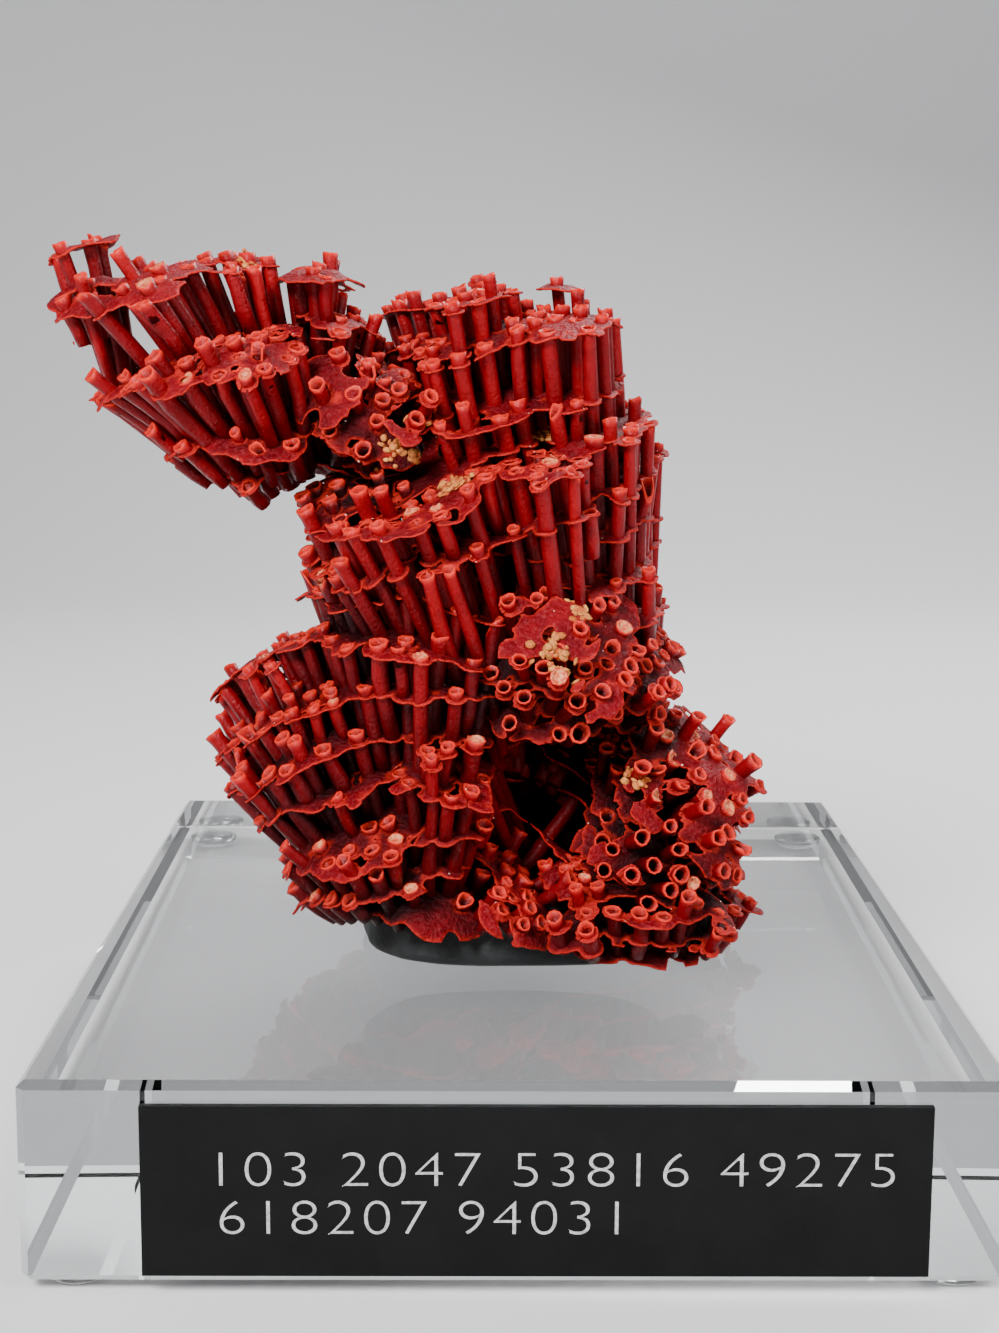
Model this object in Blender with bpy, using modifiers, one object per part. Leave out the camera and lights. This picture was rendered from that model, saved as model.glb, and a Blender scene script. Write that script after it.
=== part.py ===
"""Organ pipe coral, a dried colony held by museum wax on a clear acrylic display block.

Every length below is in millimetres and becomes metres through MM. Places are measured from the
middle of the block's underside: x to the right, y away from the front, z up.

The colony grows in lobes. A lobe has a focus that its pipes spread from, and lumps (ellipsoids)
that say how far it has grown. Thin platforms stand at regular distances from the focus and tie the
pipes together. The lobes are fused, then the colony is parted at its two main forks.
"""

from collections import namedtuple
from math import copysign, cos, pi, radians, sin

import bmesh
import bpy
import numpy as np
from mathutils import Matrix, Vector, noise

MM = 0.001
GAP = 0.3  # between pieces that rest on each other

BLOCK_WIDTH = 120.0
BLOCK_DEPTH = 150.0
BLOCK_HEIGHT = 25.4  # one-inch sheet
BLOCK_CHAMFER = 1.0
BLOCK_MIDDLE_X = 1.9  # sets the whole assembly's middle over the origin
BLOCK_MIDDLE_Y = 0.5

FOOT_HEIGHT = 1.6
FOOT_RADIUS = 4.2
FOOT_FACE_RADIUS = 2.8  # the flat that stands on the table
FOOT_ROUNDING = ((0.97, 0.55), (0.84, 0.17))  # shares of its radius and height on its soft edge
FOOT_INSET = 6.0
FOOT_SIDES = 20

LABEL_WIDTH = 94.8
LABEL_HEIGHT = 21.4
LABEL_THICKNESS = 1.0
LABEL_MIDDLE_X = 2.3
LABEL_BOTTOM = 1.4

PAD_WIDTH = 44.0
PAD_DEPTH = 34.0
PAD_HEIGHT = 7.0
PAD_MIDDLE = (0.5, -13.0)
PAD_SIDES = 28
PAD_SQUARENESS = 0.75  # 1 is an ellipse, less is squarer
PAD_LUMPINESS = 0.03  # share of its half-width that its pressed sides wander
PAD_LUMPS = 2.2  # about how many lumps go round half of it
PAD_RINGS = ((0.97, 0.0), (1.0, 0.3), (0.985, 0.65), (0.93, 0.9), (0.84, 1.0))  # share, height

PIPE_RADIUS = 1.05
PIPE_SIDES = 5
PIPE_SPACING = 10.5  # between mouths
PIPE_TRIAL_SPACING = 2.0  # between the places where a pipe is tried
PIPE_RISE = (1.2, 3.2)  # how far a mouth stands above its platform
SHORTEST_PIPE = 2.0  # least length of a pipe under its platform
PIPE_FLARE = 1.12  # a mouth is this much wider than its pipe
PLATE_THICKNESS = 1.3
PLATE_RAGGED = 2.4  # how far a platform's edge wanders
PLATE_RAGGED_STEP = 1.7  # along the noise from one corner of it to the next
LOBE_SEGMENTS = 15
LOBE_SEED_STEP = 10.0  # between the noise of one lobe's platforms and the next lobe's
PIPE_SEED = 7
CORE_RECESS = 2.8  # between platforms a lobe's solid middle lies this far in
NARROWEST = 2.0  # least half-width of a platform
COLONY_BOTTOM = BLOCK_HEIGHT + 1.2

REACH_STEP = 0.5  # how finely growth is felt out along a direction
REACH_BELOW = 3.0  # from this far under its first platform
REACH_ABOVE = 8.0  # to this far over its last
WIDEST_LEAN = 150.0  # degrees from a lobe's heading that its platforms may run to
LEAN_STEP = 0.75
WELD = 0.002  # corners closer than this after a cut are one corner
FLAT_WITHIN = 0.5  # degrees: faces that meet flatter than this are one face
CORAL_CREASE = 40.0  # degrees: sharper folds are shaded as edges
WAX_CREASE = 50.0
REGION_SIZE = 300.0  # of the boxes that part the colony, well over its size
REGION_HEIGHT = 120.0  # of their middles

Lump = namedtuple("Lump", "x y z rx ry rz lean")
Lobe = namedtuple("Lobe", "focus heading levels lumps")

LOBES = {
    "arm": Lobe(
        focus=(-26.5, -13.0, 80.0),
        heading=(-0.62, -0.08, 0.72),
        levels=(17.0, 27.0, 38.0, 48.0, 54.5),
        lumps=(
            Lump(-59.0, -16.0, 118.5, 5.0, 9.5, 6.5, 0),
            Lump(-56.5, -16.0, 112.0, 7.4, 12.0, 8.5, 0),
            Lump(-46.0, -16.0, 109.5, 11.5, 17.0, 14.5, 25),
            Lump(-36.5, -15.0, 107.5, 12.5, 19.0, 16.8, 12),
            Lump(-24.0, -13.0, 106.0, 9.5, 17.0, 16.5, 0),
        ),
    ),
    "column": Lobe(
        focus=(18.0, 2.0, -10.0),
        heading=(-0.14, -0.12, 0.98),
        levels=tuple(85.2 + 6.6 * step for step in range(8)),
        lumps=(
            Lump(-14.5, 3.0, 108.0, 6.0, 9.0, 9.0, 0),
            Lump(-5.0, -8.0, 110.5, 8.5, 16.0, 11.5, 0),
            Lump(7.5, -8.0, 108.0, 9.0, 18.0, 12.0, 0),
            Lump(12.5, -8.0, 92.0, 8.5, 19.0, 16.0, 0),
            Lump(11.0, -8.0, 76.0, 10.0, 19.0, 16.0, 0),
            Lump(-6.5, -12.0, 98.0, 13.5, 19.0, 13.5, 0),
            Lump(-15.0, -24.0, 88.5, 15.0, 18.0, 8.5, 15),
            Lump(3.5, -18.0, 92.5, 10.5, 19.0, 10.0, 0),
        ),
    ),
    "body": Lobe(
        focus=(-12.0, -24.0, 22.0),
        heading=(-0.2, 0.1, 0.95),
        levels=tuple(26.0 + 6.0 * step for step in range(7)),
        lumps=(
            Lump(-12.0, -15.0, 69.5, 18.5, 23.0, 17.5, 10),
            Lump(-27.0, -14.0, 55.5, 15.5, 23.0, 15.0, 20),
            Lump(-18.5, -14.0, 43.5, 16.5, 25.0, 14.0, 0),
            Lump(1.0, -6.0, 42.0, 16.0, 20.0, 15.0, 0),
            Lump(-3.0, -20.0, 33.0, 17.0, 19.0, 6.5, 0),
        ),
    ),
    "knob": Lobe(
        focus=(2.0, -6.0, 50.0),
        heading=(0.2, -0.8, 0.55),
        levels=(21.0, 27.0, 33.0, 39.0),
        lumps=(
            Lump(4.5, -25.0, 69.5, 13.0, 17.0, 12.0, 0),
            Lump(16.5, -12.0, 66.0, 8.0, 18.0, 9.0, 0),
        ),
    ),
    "right": Lobe(
        focus=(12.0, -8.0, 34.0),
        heading=(0.75, -0.45, 0.5),
        levels=(18.5, 24.0, 29.5),
        lumps=(
            Lump(22.5, -14.0, 46.0, 11.0, 23.0, 14.0, 0),
            Lump(18.5, -16.0, 35.5, 13.5, 23.0, 9.5, 0),
        ),
    ),
}

HEART = (
    Lump(-2.0, -9.0, 45.0, 21.0, 17.0, 19.0, 0),
    Lump(1.0, -9.0, 72.0, 15.0, 13.0, 20.0, 0),
    Lump(2.0, -9.0, 98.0, 11.0, 11.0, 17.0, 0),
    Lump(-20.0, -13.0, 99.0, 12.0, 10.0, 6.0, 20),
    Lump(-2.0, -20.0, 35.0, 21.0, 17.0, 8.0, 0),
)

ARM_FORK_POINT = (-33.0, -14.0, 92.5)
ARM_FORK_NORMAL = (-0.876, 0.0, 0.481)  # points into the arm
COLUMN_FORK_POINT = (0.0, -14.0, 75.0)
COLUMN_FORK_NORMAL = (0.0, -0.1, 1.0)  # points into the column

CORAL_RED = (0.36, 0.012, 0.014)
ACRYLIC = (0.93, 0.96, 0.96)
WAX_GREY = (0.028, 0.031, 0.034)
LABEL_BLACK = (0.012, 0.012, 0.014)


# ---- scene ----------------------------------------------------------------------------------


def clear_scene():
    for obj in list(bpy.data.objects):
        bpy.data.objects.remove(obj, do_unlink=True)


def new_collection(name):
    collection = bpy.data.collections.new(name)
    bpy.context.scene.collection.children.link(collection)
    return collection


def material(name, colour, roughness, transmission=0.0, ior=1.45):
    made = bpy.data.materials.new(name)
    made.use_nodes = True
    shader = made.node_tree.nodes["Principled BSDF"]
    shader.inputs["Base Color"].default_value = (*colour, 1.0)
    shader.inputs["Roughness"].default_value = roughness
    shader.inputs["Metallic"].default_value = 0.0
    shader.inputs["Transmission Weight"].default_value = transmission
    shader.inputs["IOR"].default_value = ior
    return made


def add_object(name, bm, collection, made_of=None, parent=None):
    """The bmesh, in millimetres, as an object in metres. The bmesh is freed."""
    bmesh.ops.scale(bm, vec=(MM, MM, MM), verts=bm.verts)
    mesh = bpy.data.meshes.new(name)
    bm.to_mesh(mesh)
    bm.free()
    obj = bpy.data.objects.new(name, mesh)
    collection.objects.link(obj)
    obj.parent = parent
    if made_of:
        mesh.materials.append(made_of)
    return obj


def make_helper(obj):
    obj.hide_render = True
    obj.display_type = "WIRE"


# ---- block, label, feet and wax -------------------------------------------------------------


def box_bmesh(size, middle):
    bm = bmesh.new()
    place = Matrix.Translation(middle) @ Matrix.Diagonal((*size, 1.0))
    bmesh.ops.create_cube(bm, size=1.0, matrix=place)
    return bm


def join_rings(bm, rings):
    """Faces between each ring of vertices and the next."""
    for low, high in zip(rings, rings[1:]):
        for step in range(len(low)):
            after = (step + 1) % len(low)
            bm.faces.new((low[step], low[after], high[after], high[step]))


def add_block(collection, root, made_of):
    bm = box_bmesh((BLOCK_WIDTH, BLOCK_DEPTH, BLOCK_HEIGHT), (0, 0, BLOCK_HEIGHT / 2))
    block = add_object("display_block", bm, collection, made_of, root)
    bevel = block.modifiers.new("chamfer", "BEVEL")
    bevel.width = BLOCK_CHAMFER * MM
    bevel.segments = 1


def add_label(collection, root, made_of):
    middle = (
        LABEL_MIDDLE_X,
        -BLOCK_DEPTH / 2 - LABEL_THICKNESS / 2,
        LABEL_BOTTOM + LABEL_HEIGHT / 2,
    )
    size = (LABEL_WIDTH, LABEL_THICKNESS, LABEL_HEIGHT)
    add_object("label_plate", box_bmesh(size, middle), collection, made_of, root)


def foot_profile():
    """From the glued top face round the soft edge to the flat that stands on the table."""
    return (
        (0.0, FOOT_HEIGHT),
        (FOOT_RADIUS, FOOT_HEIGHT),
        *((FOOT_RADIUS * across, FOOT_HEIGHT * up) for across, up in FOOT_ROUNDING),
        (FOOT_FACE_RADIUS, 0.0),
        (0.0, 0.0),
    )


def add_feet(collection, root, made_of):
    for depth_name, side_y in (("front", -1), ("back", 1)):
        for side_name, side_x in (("left", -1), ("right", 1)):
            bm = bmesh.new()
            points = [bm.verts.new((x, 0.0, z)) for x, z in foot_profile()]
            for start, end in zip(points, points[1:]):
                bm.edges.new((start, end))
            name = f"foot_{depth_name}_{side_name}"
            foot = add_object(name, bm, collection, made_of, root)
            foot.location = (
                side_x * (BLOCK_WIDTH / 2 - FOOT_INSET) * MM,
                side_y * (BLOCK_DEPTH / 2 - FOOT_INSET) * MM,
                -FOOT_HEIGHT * MM,
            )
            turn = foot.modifiers.new("turn", "SCREW")
            turn.steps = turn.render_steps = FOOT_SIDES
            turn.use_merge_vertices = True
            turn.merge_threshold = 0.00001


def pad_bmesh(clearance=0.0):
    """The wax pad, a squarish oval cake with soft shoulders, grown all round by a clearance."""
    bm = bmesh.new()
    loops = []
    for share, height in PAD_RINGS:
        loop = []
        for step in range(PAD_SIDES):
            turn = 2 * pi * step / PAD_SIDES
            x = copysign(abs(cos(turn)) ** PAD_SQUARENESS, cos(turn))
            y = copysign(abs(sin(turn)) ** PAD_SQUARENESS, sin(turn))
            pressed = share * (1 + PAD_LUMPINESS * noise.noise((PAD_LUMPS * x, PAD_LUMPS * y, 0.7)))
            x = PAD_MIDDLE[0] + x * pressed * (PAD_WIDTH / 2 + clearance)
            y = PAD_MIDDLE[1] + y * pressed * (PAD_DEPTH / 2 + clearance)
            z = BLOCK_HEIGHT + GAP + height * (PAD_HEIGHT + clearance)
            loop.append(bm.verts.new((x, y, z)))
        loops.append(loop)
    join_rings(bm, loops)
    bm.faces.new(loops[0][::-1])
    bm.faces.new(loops[-1])
    return bm


# ---- the lobes' envelope --------------------------------------------------------------------


def inside(points, lumps):
    """For each point, whether it lies in any lump."""
    found = np.zeros(len(points), bool)
    for lump in lumps:
        turn = radians(lump.lean)
        local = points - np.array((lump.x, lump.y, lump.z))
        across = local[:, 0] * cos(turn) + local[:, 2] * sin(turn)
        up = local[:, 2] * cos(turn) - local[:, 0] * sin(turn)
        share = np.column_stack((across, local[:, 1], up)) / (lump.rx, lump.ry, lump.rz)
        found |= (share**2).sum(axis=1) < 1
    return found


def even_directions(count):
    """Unit vectors spread evenly over the sphere, on the golden spiral."""
    steps = np.arange(count) + 0.5
    z = 1 - 2 * steps / count
    turn = steps * pi * (1 + 5**0.5)
    flat = np.sqrt(1 - z * z)
    return np.column_stack((flat * np.cos(turn), flat * np.sin(turn), z))


def growth_span(lobe, directions):
    """Where the lobe's growth begins and ends along each direction, both 0 where it has none."""
    begins, ends = np.zeros(len(directions)), np.zeros(len(directions))
    nearest, farthest = lobe.levels[0] - REACH_BELOW, lobe.levels[-1] + REACH_ABOVE
    for distance in np.arange(nearest, farthest, REACH_STEP):
        held = inside(lobe.focus + distance * directions, lobe.lumps)
        begins[held & (begins == 0)] = distance
        ends[held] = distance
    return begins, ends


# ---- the colony -----------------------------------------------------------------------------


def heading_turns(lobe):
    """The lobe's heading, and the directions square to it that its outlines turn through."""
    ahead = Vector(lobe.heading).normalized()
    side = Vector((0.0, 1.0, 0.0)).cross(ahead).normalized()
    other = ahead.cross(side)
    turns = [2 * pi * step / LOBE_SEGMENTS for step in range(LOBE_SEGMENTS)]
    return ahead, [side * cos(turn) + other * sin(turn) for turn in turns]


def platform_levels(lobe):
    """The levels at which the lobe has a platform: those that its heading meets inside it."""
    ahead = np.array(Vector(lobe.heading).normalized())
    held = inside(lobe.focus + np.outer(lobe.levels, ahead), lobe.lumps)
    return [level for level, there in zip(lobe.levels, held) if there]


def rim_leans(lobe, radius, seed):
    """For each turn round the lobe's heading, the angle from it at which a platform of this
    radius leaves the envelope, with a ragged edge."""
    ahead, turns = heading_turns(lobe)
    leans = np.radians(np.arange(0.0, WIDEST_LEAN, LEAN_STEP))
    rim = []
    for step, out in enumerate(turns):
        rays = np.outer(np.cos(leans), ahead) + np.outer(np.sin(leans), out)
        held = inside(lobe.focus + radius * rays, lobe.lumps)
        lean = leans[-1] if held.all() else leans[int(np.argmin(held))]
        lean += PLATE_RAGGED * noise.noise((PLATE_RAGGED_STEP * step, seed, 0.5)) / radius
        rim.append(max(lean, NARROWEST / radius))
    return rim


def lobe_loops(lobe, seed):
    """The stack of loops that a lobe's surface runs through: each platform's rim, and the
    drawn-in wall between one platform and the next. Each loop is (leans, radius)."""
    half = PLATE_THICKNESS / 2
    rims = [(level, rim_leans(lobe, level, seed + level)) for level in platform_levels(lobe)]
    loops = []
    for (level, rim), (above, rim_above) in zip(rims, rims[1:]):
        narrower = [min(pair) for pair in zip(rim, rim_above)]
        wall = [max(lean - CORE_RECESS / level, NARROWEST / 2 / level) for lean in narrower]
        ledge = [(a + b) / 2 for a, b in zip(rim, wall)]
        loops += [(rim, level - half), (rim, level + half), (ledge, level + half)]
        loops += [(wall, level + half), (wall, above - half)]
    last, rim = rims[-1]
    crown = [lean / 2 for lean in rim]
    return loops + [(rim, last - half), (rim, last + half), (crown, last + half)]


def lobe_bmesh(lobe, seed):
    """One lobe's solid: a loft through its loops, closed at both ends."""
    bm = bmesh.new()
    focus = Vector(lobe.focus)
    ahead, turns = heading_turns(lobe)
    loops = lobe_loops(lobe, seed)
    rings = [
        [
            bm.verts.new(focus + radius * (ahead * cos(lean) + out * sin(lean)))
            for lean, out in zip(leans, turns)
        ]
        for leans, radius in loops
    ]
    join_rings(bm, rings)
    bottom = bm.verts.new(sum((vert.co for vert in rings[0]), Vector()) / LOBE_SEGMENTS)
    top = bm.verts.new(focus + ahead * loops[-1][1])
    for step in range(LOBE_SEGMENTS):
        after = (step + 1) % LOBE_SEGMENTS
        bm.faces.new((rings[0][after], rings[0][step], bottom))
        bm.faces.new((rings[-1][step], rings[-1][after], top))
    bmesh.ops.triangulate(bm, faces=bm.faces)
    return bm


def add_core(bm, lump):
    """A rounded mass that fills the middle of the colony."""
    lean = Matrix.Rotation(-radians(lump.lean), 3, "Y")
    for vert in bmesh.ops.create_icosphere(bm, subdivisions=2, radius=1.0)["verts"]:
        vert.co = lean @ Vector(a * b for a, b in zip(vert.co, (lump.rx, lump.ry, lump.rz)))
        vert.co += Vector((lump.x, lump.y, lump.z))


def pipe_runs(lobe, others, random):
    """(foot, mouth) of each pipe, from one platform to above the next, evenly spaced."""
    levels = platform_levels(lobe)
    directions = even_directions(int(4 * pi * (levels[-1] / PIPE_TRIAL_SPACING) ** 2))
    begins, ends = growth_span(lobe, directions)
    grown = random.permutation(np.flatnonzero(ends >= levels[0]))
    pitch = lobe.levels[1] - lobe.levels[0]
    runs = []
    for direction, begin, end in zip(directions[grown], begins[grown], ends[grown]):
        level = max(level for level in levels if level <= end)
        mouth = lobe.focus + direction * (level + random.uniform(*PIPE_RISE))
        if inside(mouth[None], others)[0] or mouth[2] < COLONY_BOTTOM + PIPE_RADIUS:
            continue
        if begin > level - SHORTEST_PIPE:
            continue
        if all(np.linalg.norm(mouth - other) > PIPE_SPACING for _, other in runs):
            runs.append((lobe.focus + direction * max(level - pitch, begin), mouth))
    return runs


def add_pipe(bm, foot, mouth, turn):
    along = Vector(mouth - foot)
    place = Matrix.Translation(Vector((mouth + foot) / 2))
    place @= along.to_track_quat("Z", "Y").to_matrix().to_4x4()
    place @= Matrix.Rotation(turn, 4, "Z")
    bmesh.ops.create_cone(
        bm,
        cap_ends=True,
        segments=PIPE_SIDES,
        radius1=PIPE_RADIUS,
        radius2=PIPE_RADIUS * PIPE_FLARE,
        depth=along.length,
        matrix=place,
    )


def keep_largest_body(bm):
    """Drops crumbs left beside the main body, and the walls of sealed hollows in it."""
    unseen = set(bm.faces)
    bodies = []
    while unseen:
        body = {unseen.pop()}
        waiting = list(body)
        while waiting:
            face = waiting.pop()
            for edge in face.edges:
                for other in edge.link_faces:
                    if other in unseen:
                        unseen.discard(other)
                        body.add(other)
                        waiting.append(other)
        bodies.append(body)
    bodies.sort(key=len)
    drop = [face for body in bodies[:-1] for face in body]
    bmesh.ops.delete(bm, geom=drop, context="FACES")


def boolean(obj, other, operation, overlaps_itself=False):
    step = obj.modifiers.new(operation.lower(), "BOOLEAN")
    step.operation = operation
    step.solver = "EXACT"
    step.object = other
    step.use_self = overlaps_itself


def applied(obj):
    """The object's evaluated mesh as a bmesh in millimetres, tidied."""
    bpy.context.view_layer.update()
    seen = obj.evaluated_get(bpy.context.evaluated_depsgraph_get())
    mesh = bpy.data.meshes.new_from_object(seen)
    bm = bmesh.new()
    bm.from_mesh(mesh)
    bpy.data.meshes.remove(mesh)
    bmesh.ops.scale(bm, vec=(1 / MM,) * 3, verts=bm.verts)
    bmesh.ops.remove_doubles(bm, verts=bm.verts, dist=WELD)
    bmesh.ops.dissolve_degenerate(bm, edges=bm.edges, dist=WELD)
    flat = radians(FLAT_WITHIN)
    bmesh.ops.dissolve_limit(bm, angle_limit=flat, verts=bm.verts, edges=bm.edges)
    bmesh.ops.triangulate(bm, faces=bm.faces)
    keep_largest_body(bm)
    return bm


def add_colony(helpers):
    """The whole fused colony, hidden: its nodes are cut from it."""
    random = np.random.default_rng(PIPE_SEED)
    pipes = bmesh.new()
    colony = None
    for index, (name, lobe) in enumerate(LOBES.items()):
        obj = add_object(f"lobe_{name}", lobe_bmesh(lobe, LOBE_SEED_STEP * index), helpers)
        make_helper(obj)
        if colony:
            boolean(colony, obj, "UNION", overlaps_itself=True)
        else:
            colony = obj
        others = [lump for key, held in LOBES.items() if key != name for lump in held.lumps]
        for foot, mouth in pipe_runs(lobe, others, random):
            add_pipe(pipes, foot, mouth, random.uniform(0, 2 * pi))
    for lump in HEART:
        add_core(pipes, lump)
    growth = add_object("heart_and_pipes", pipes, helpers)
    make_helper(growth)
    boolean(colony, growth, "UNION", overlaps_itself=True)
    return colony


def region_bmesh(planes):
    """A big box cut by planes, each a point on it and its normal: what lies ahead of all stays."""
    bm = box_bmesh((REGION_SIZE,) * 3, (0.0, 0.0, REGION_HEIGHT))
    for point, normal in planes:
        ahead = Vector(normal).normalized()
        cut = bmesh.ops.bisect_plane(
            bm,
            geom=bm.verts[:] + bm.edges[:] + bm.faces[:],
            plane_co=Vector(point) + ahead * GAP / 2,
            plane_no=ahead,
            clear_inner=True,
        )
        edges = [part for part in cut["geom_cut"] if isinstance(part, bmesh.types.BMEdge)]
        bmesh.ops.contextual_create(bm, geom=edges)
    bmesh.ops.recalc_face_normals(bm, faces=bm.faces)
    return bm


def backwards(normal):
    return tuple(-part for part in normal)


def add_coral(collection, helpers, root, made_of):
    colony = add_colony(helpers)
    whole = applied(colony)
    arm_side = (ARM_FORK_POINT, ARM_FORK_NORMAL)
    not_arm = (ARM_FORK_POINT, backwards(ARM_FORK_NORMAL))
    column_side = (COLUMN_FORK_POINT, COLUMN_FORK_NORMAL)
    base_side = (COLUMN_FORK_POINT, backwards(COLUMN_FORK_NORMAL))
    bottom = ((0.0, 0.0, COLONY_BOTTOM - GAP / 2), (0.0, 0.0, 1.0))
    regions = {
        "coral_left_arm": (arm_side, column_side),
        "coral_upper_column": (not_arm, column_side),
        "coral_base": (base_side, bottom),
    }
    hollow = add_object("pad_clearance", pad_bmesh(clearance=GAP), helpers)
    make_helper(hollow)
    for name, planes in regions.items():
        region = add_object(f"region_{name}", region_bmesh(planes), helpers)
        cutting = add_object(f"uncut_{name}", whole.copy(), helpers)
        boolean(cutting, region, "INTERSECT")
        if name == "coral_base":
            boolean(cutting, hollow, "DIFFERENCE")
        make_helper(region)
        make_helper(cutting)
        coral = add_object(name, applied(cutting), collection, made_of, root)
        coral.data.set_sharp_from_angle(angle=radians(CORAL_CREASE))
    whole.free()


def main():
    clear_scene()
    collection = new_collection("organ_pipe_coral")
    helpers = new_collection("cutters")
    helpers.hide_render = True
    root = bpy.data.objects.new("organ_pipe_coral", None)
    root.location = (BLOCK_MIDDLE_X * MM, BLOCK_MIDDLE_Y * MM, FOOT_HEIGHT * MM)
    collection.objects.link(root)
    acrylic = material("clear_acrylic", ACRYLIC, 0.02, transmission=1.0, ior=1.49)
    add_block(collection, root, acrylic)
    add_feet(collection, root, acrylic)
    add_label(collection, root, material("black_label", LABEL_BLACK, 0.35))
    pad = add_object(
        "mounting_pad", pad_bmesh(), collection, material("museum_wax", WAX_GREY, 0.6), root
    )
    pad.data.shade_smooth()
    pad.data.set_sharp_from_angle(angle=radians(WAX_CREASE))
    add_coral(collection, helpers, root, material("red_coral", CORAL_RED, 0.45))


main()
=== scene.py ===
"""Organ pipe coral held by museum wax on a clear acrylic display block.

The colony grows in lobes. A lobe has a focus that its pipes spread from, and lumps (ellipsoids)
that say how far it has grown. Thin platforms stand at regular distances from the focus and tie
the pipes together. Growth is worked out in millimetres from the middle of the block's underside,
and goes into the frame's metres through placed().
"""

from collections import namedtuple
from math import cos, pi, radians, sin, tau

import bmesh
import bpy
import numpy as np
from mathutils import Matrix, Vector, noise


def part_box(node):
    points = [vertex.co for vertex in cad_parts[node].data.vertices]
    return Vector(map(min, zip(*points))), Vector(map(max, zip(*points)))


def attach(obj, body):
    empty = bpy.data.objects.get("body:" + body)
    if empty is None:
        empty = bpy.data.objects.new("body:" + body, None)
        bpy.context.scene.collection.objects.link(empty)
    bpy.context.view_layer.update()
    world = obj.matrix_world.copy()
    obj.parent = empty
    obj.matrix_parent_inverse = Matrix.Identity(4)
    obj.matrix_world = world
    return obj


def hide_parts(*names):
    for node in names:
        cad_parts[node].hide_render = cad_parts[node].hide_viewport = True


bl_info = {
    "name": "Organ pipe coral on a display block",
    "version": (1, 0, 0),
    "blender": (4, 5, 0),
    "location": "View3D > Sidebar > Coral",
    "description": "Grows the pipes and platforms of a mounted coral and finishes its block",
    "category": "Object",
}

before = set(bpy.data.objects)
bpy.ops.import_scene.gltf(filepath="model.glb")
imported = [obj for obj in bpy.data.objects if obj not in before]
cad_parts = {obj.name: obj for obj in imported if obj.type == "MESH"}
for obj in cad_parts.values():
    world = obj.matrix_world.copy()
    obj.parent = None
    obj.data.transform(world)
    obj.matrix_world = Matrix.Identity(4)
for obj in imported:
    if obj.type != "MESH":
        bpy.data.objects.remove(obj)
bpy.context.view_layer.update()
BLOCK_LOW, BLOCK_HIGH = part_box("display_block")
BLOCK_FOOT = np.array(
    ((BLOCK_LOW.x + BLOCK_HIGH.x) / 2, (BLOCK_LOW.y + BLOCK_HIGH.y) / 2, BLOCK_LOW.z)
)
MM = 0.001
BLOCK_TOP = (BLOCK_HIGH.z - BLOCK_LOW.z) / MM

# ---- how the colony grew ----------------------------------------------------------------------

Lump = namedtuple("Lump", "x y z rx ry rz lean", defaults=(0,))  # lean is in degrees
Lobe = namedtuple(
    "Lobe", "focus heading spread levels lumps replaces tilt flush", defaults=((0, 0, 0), 0.15)
)

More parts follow.
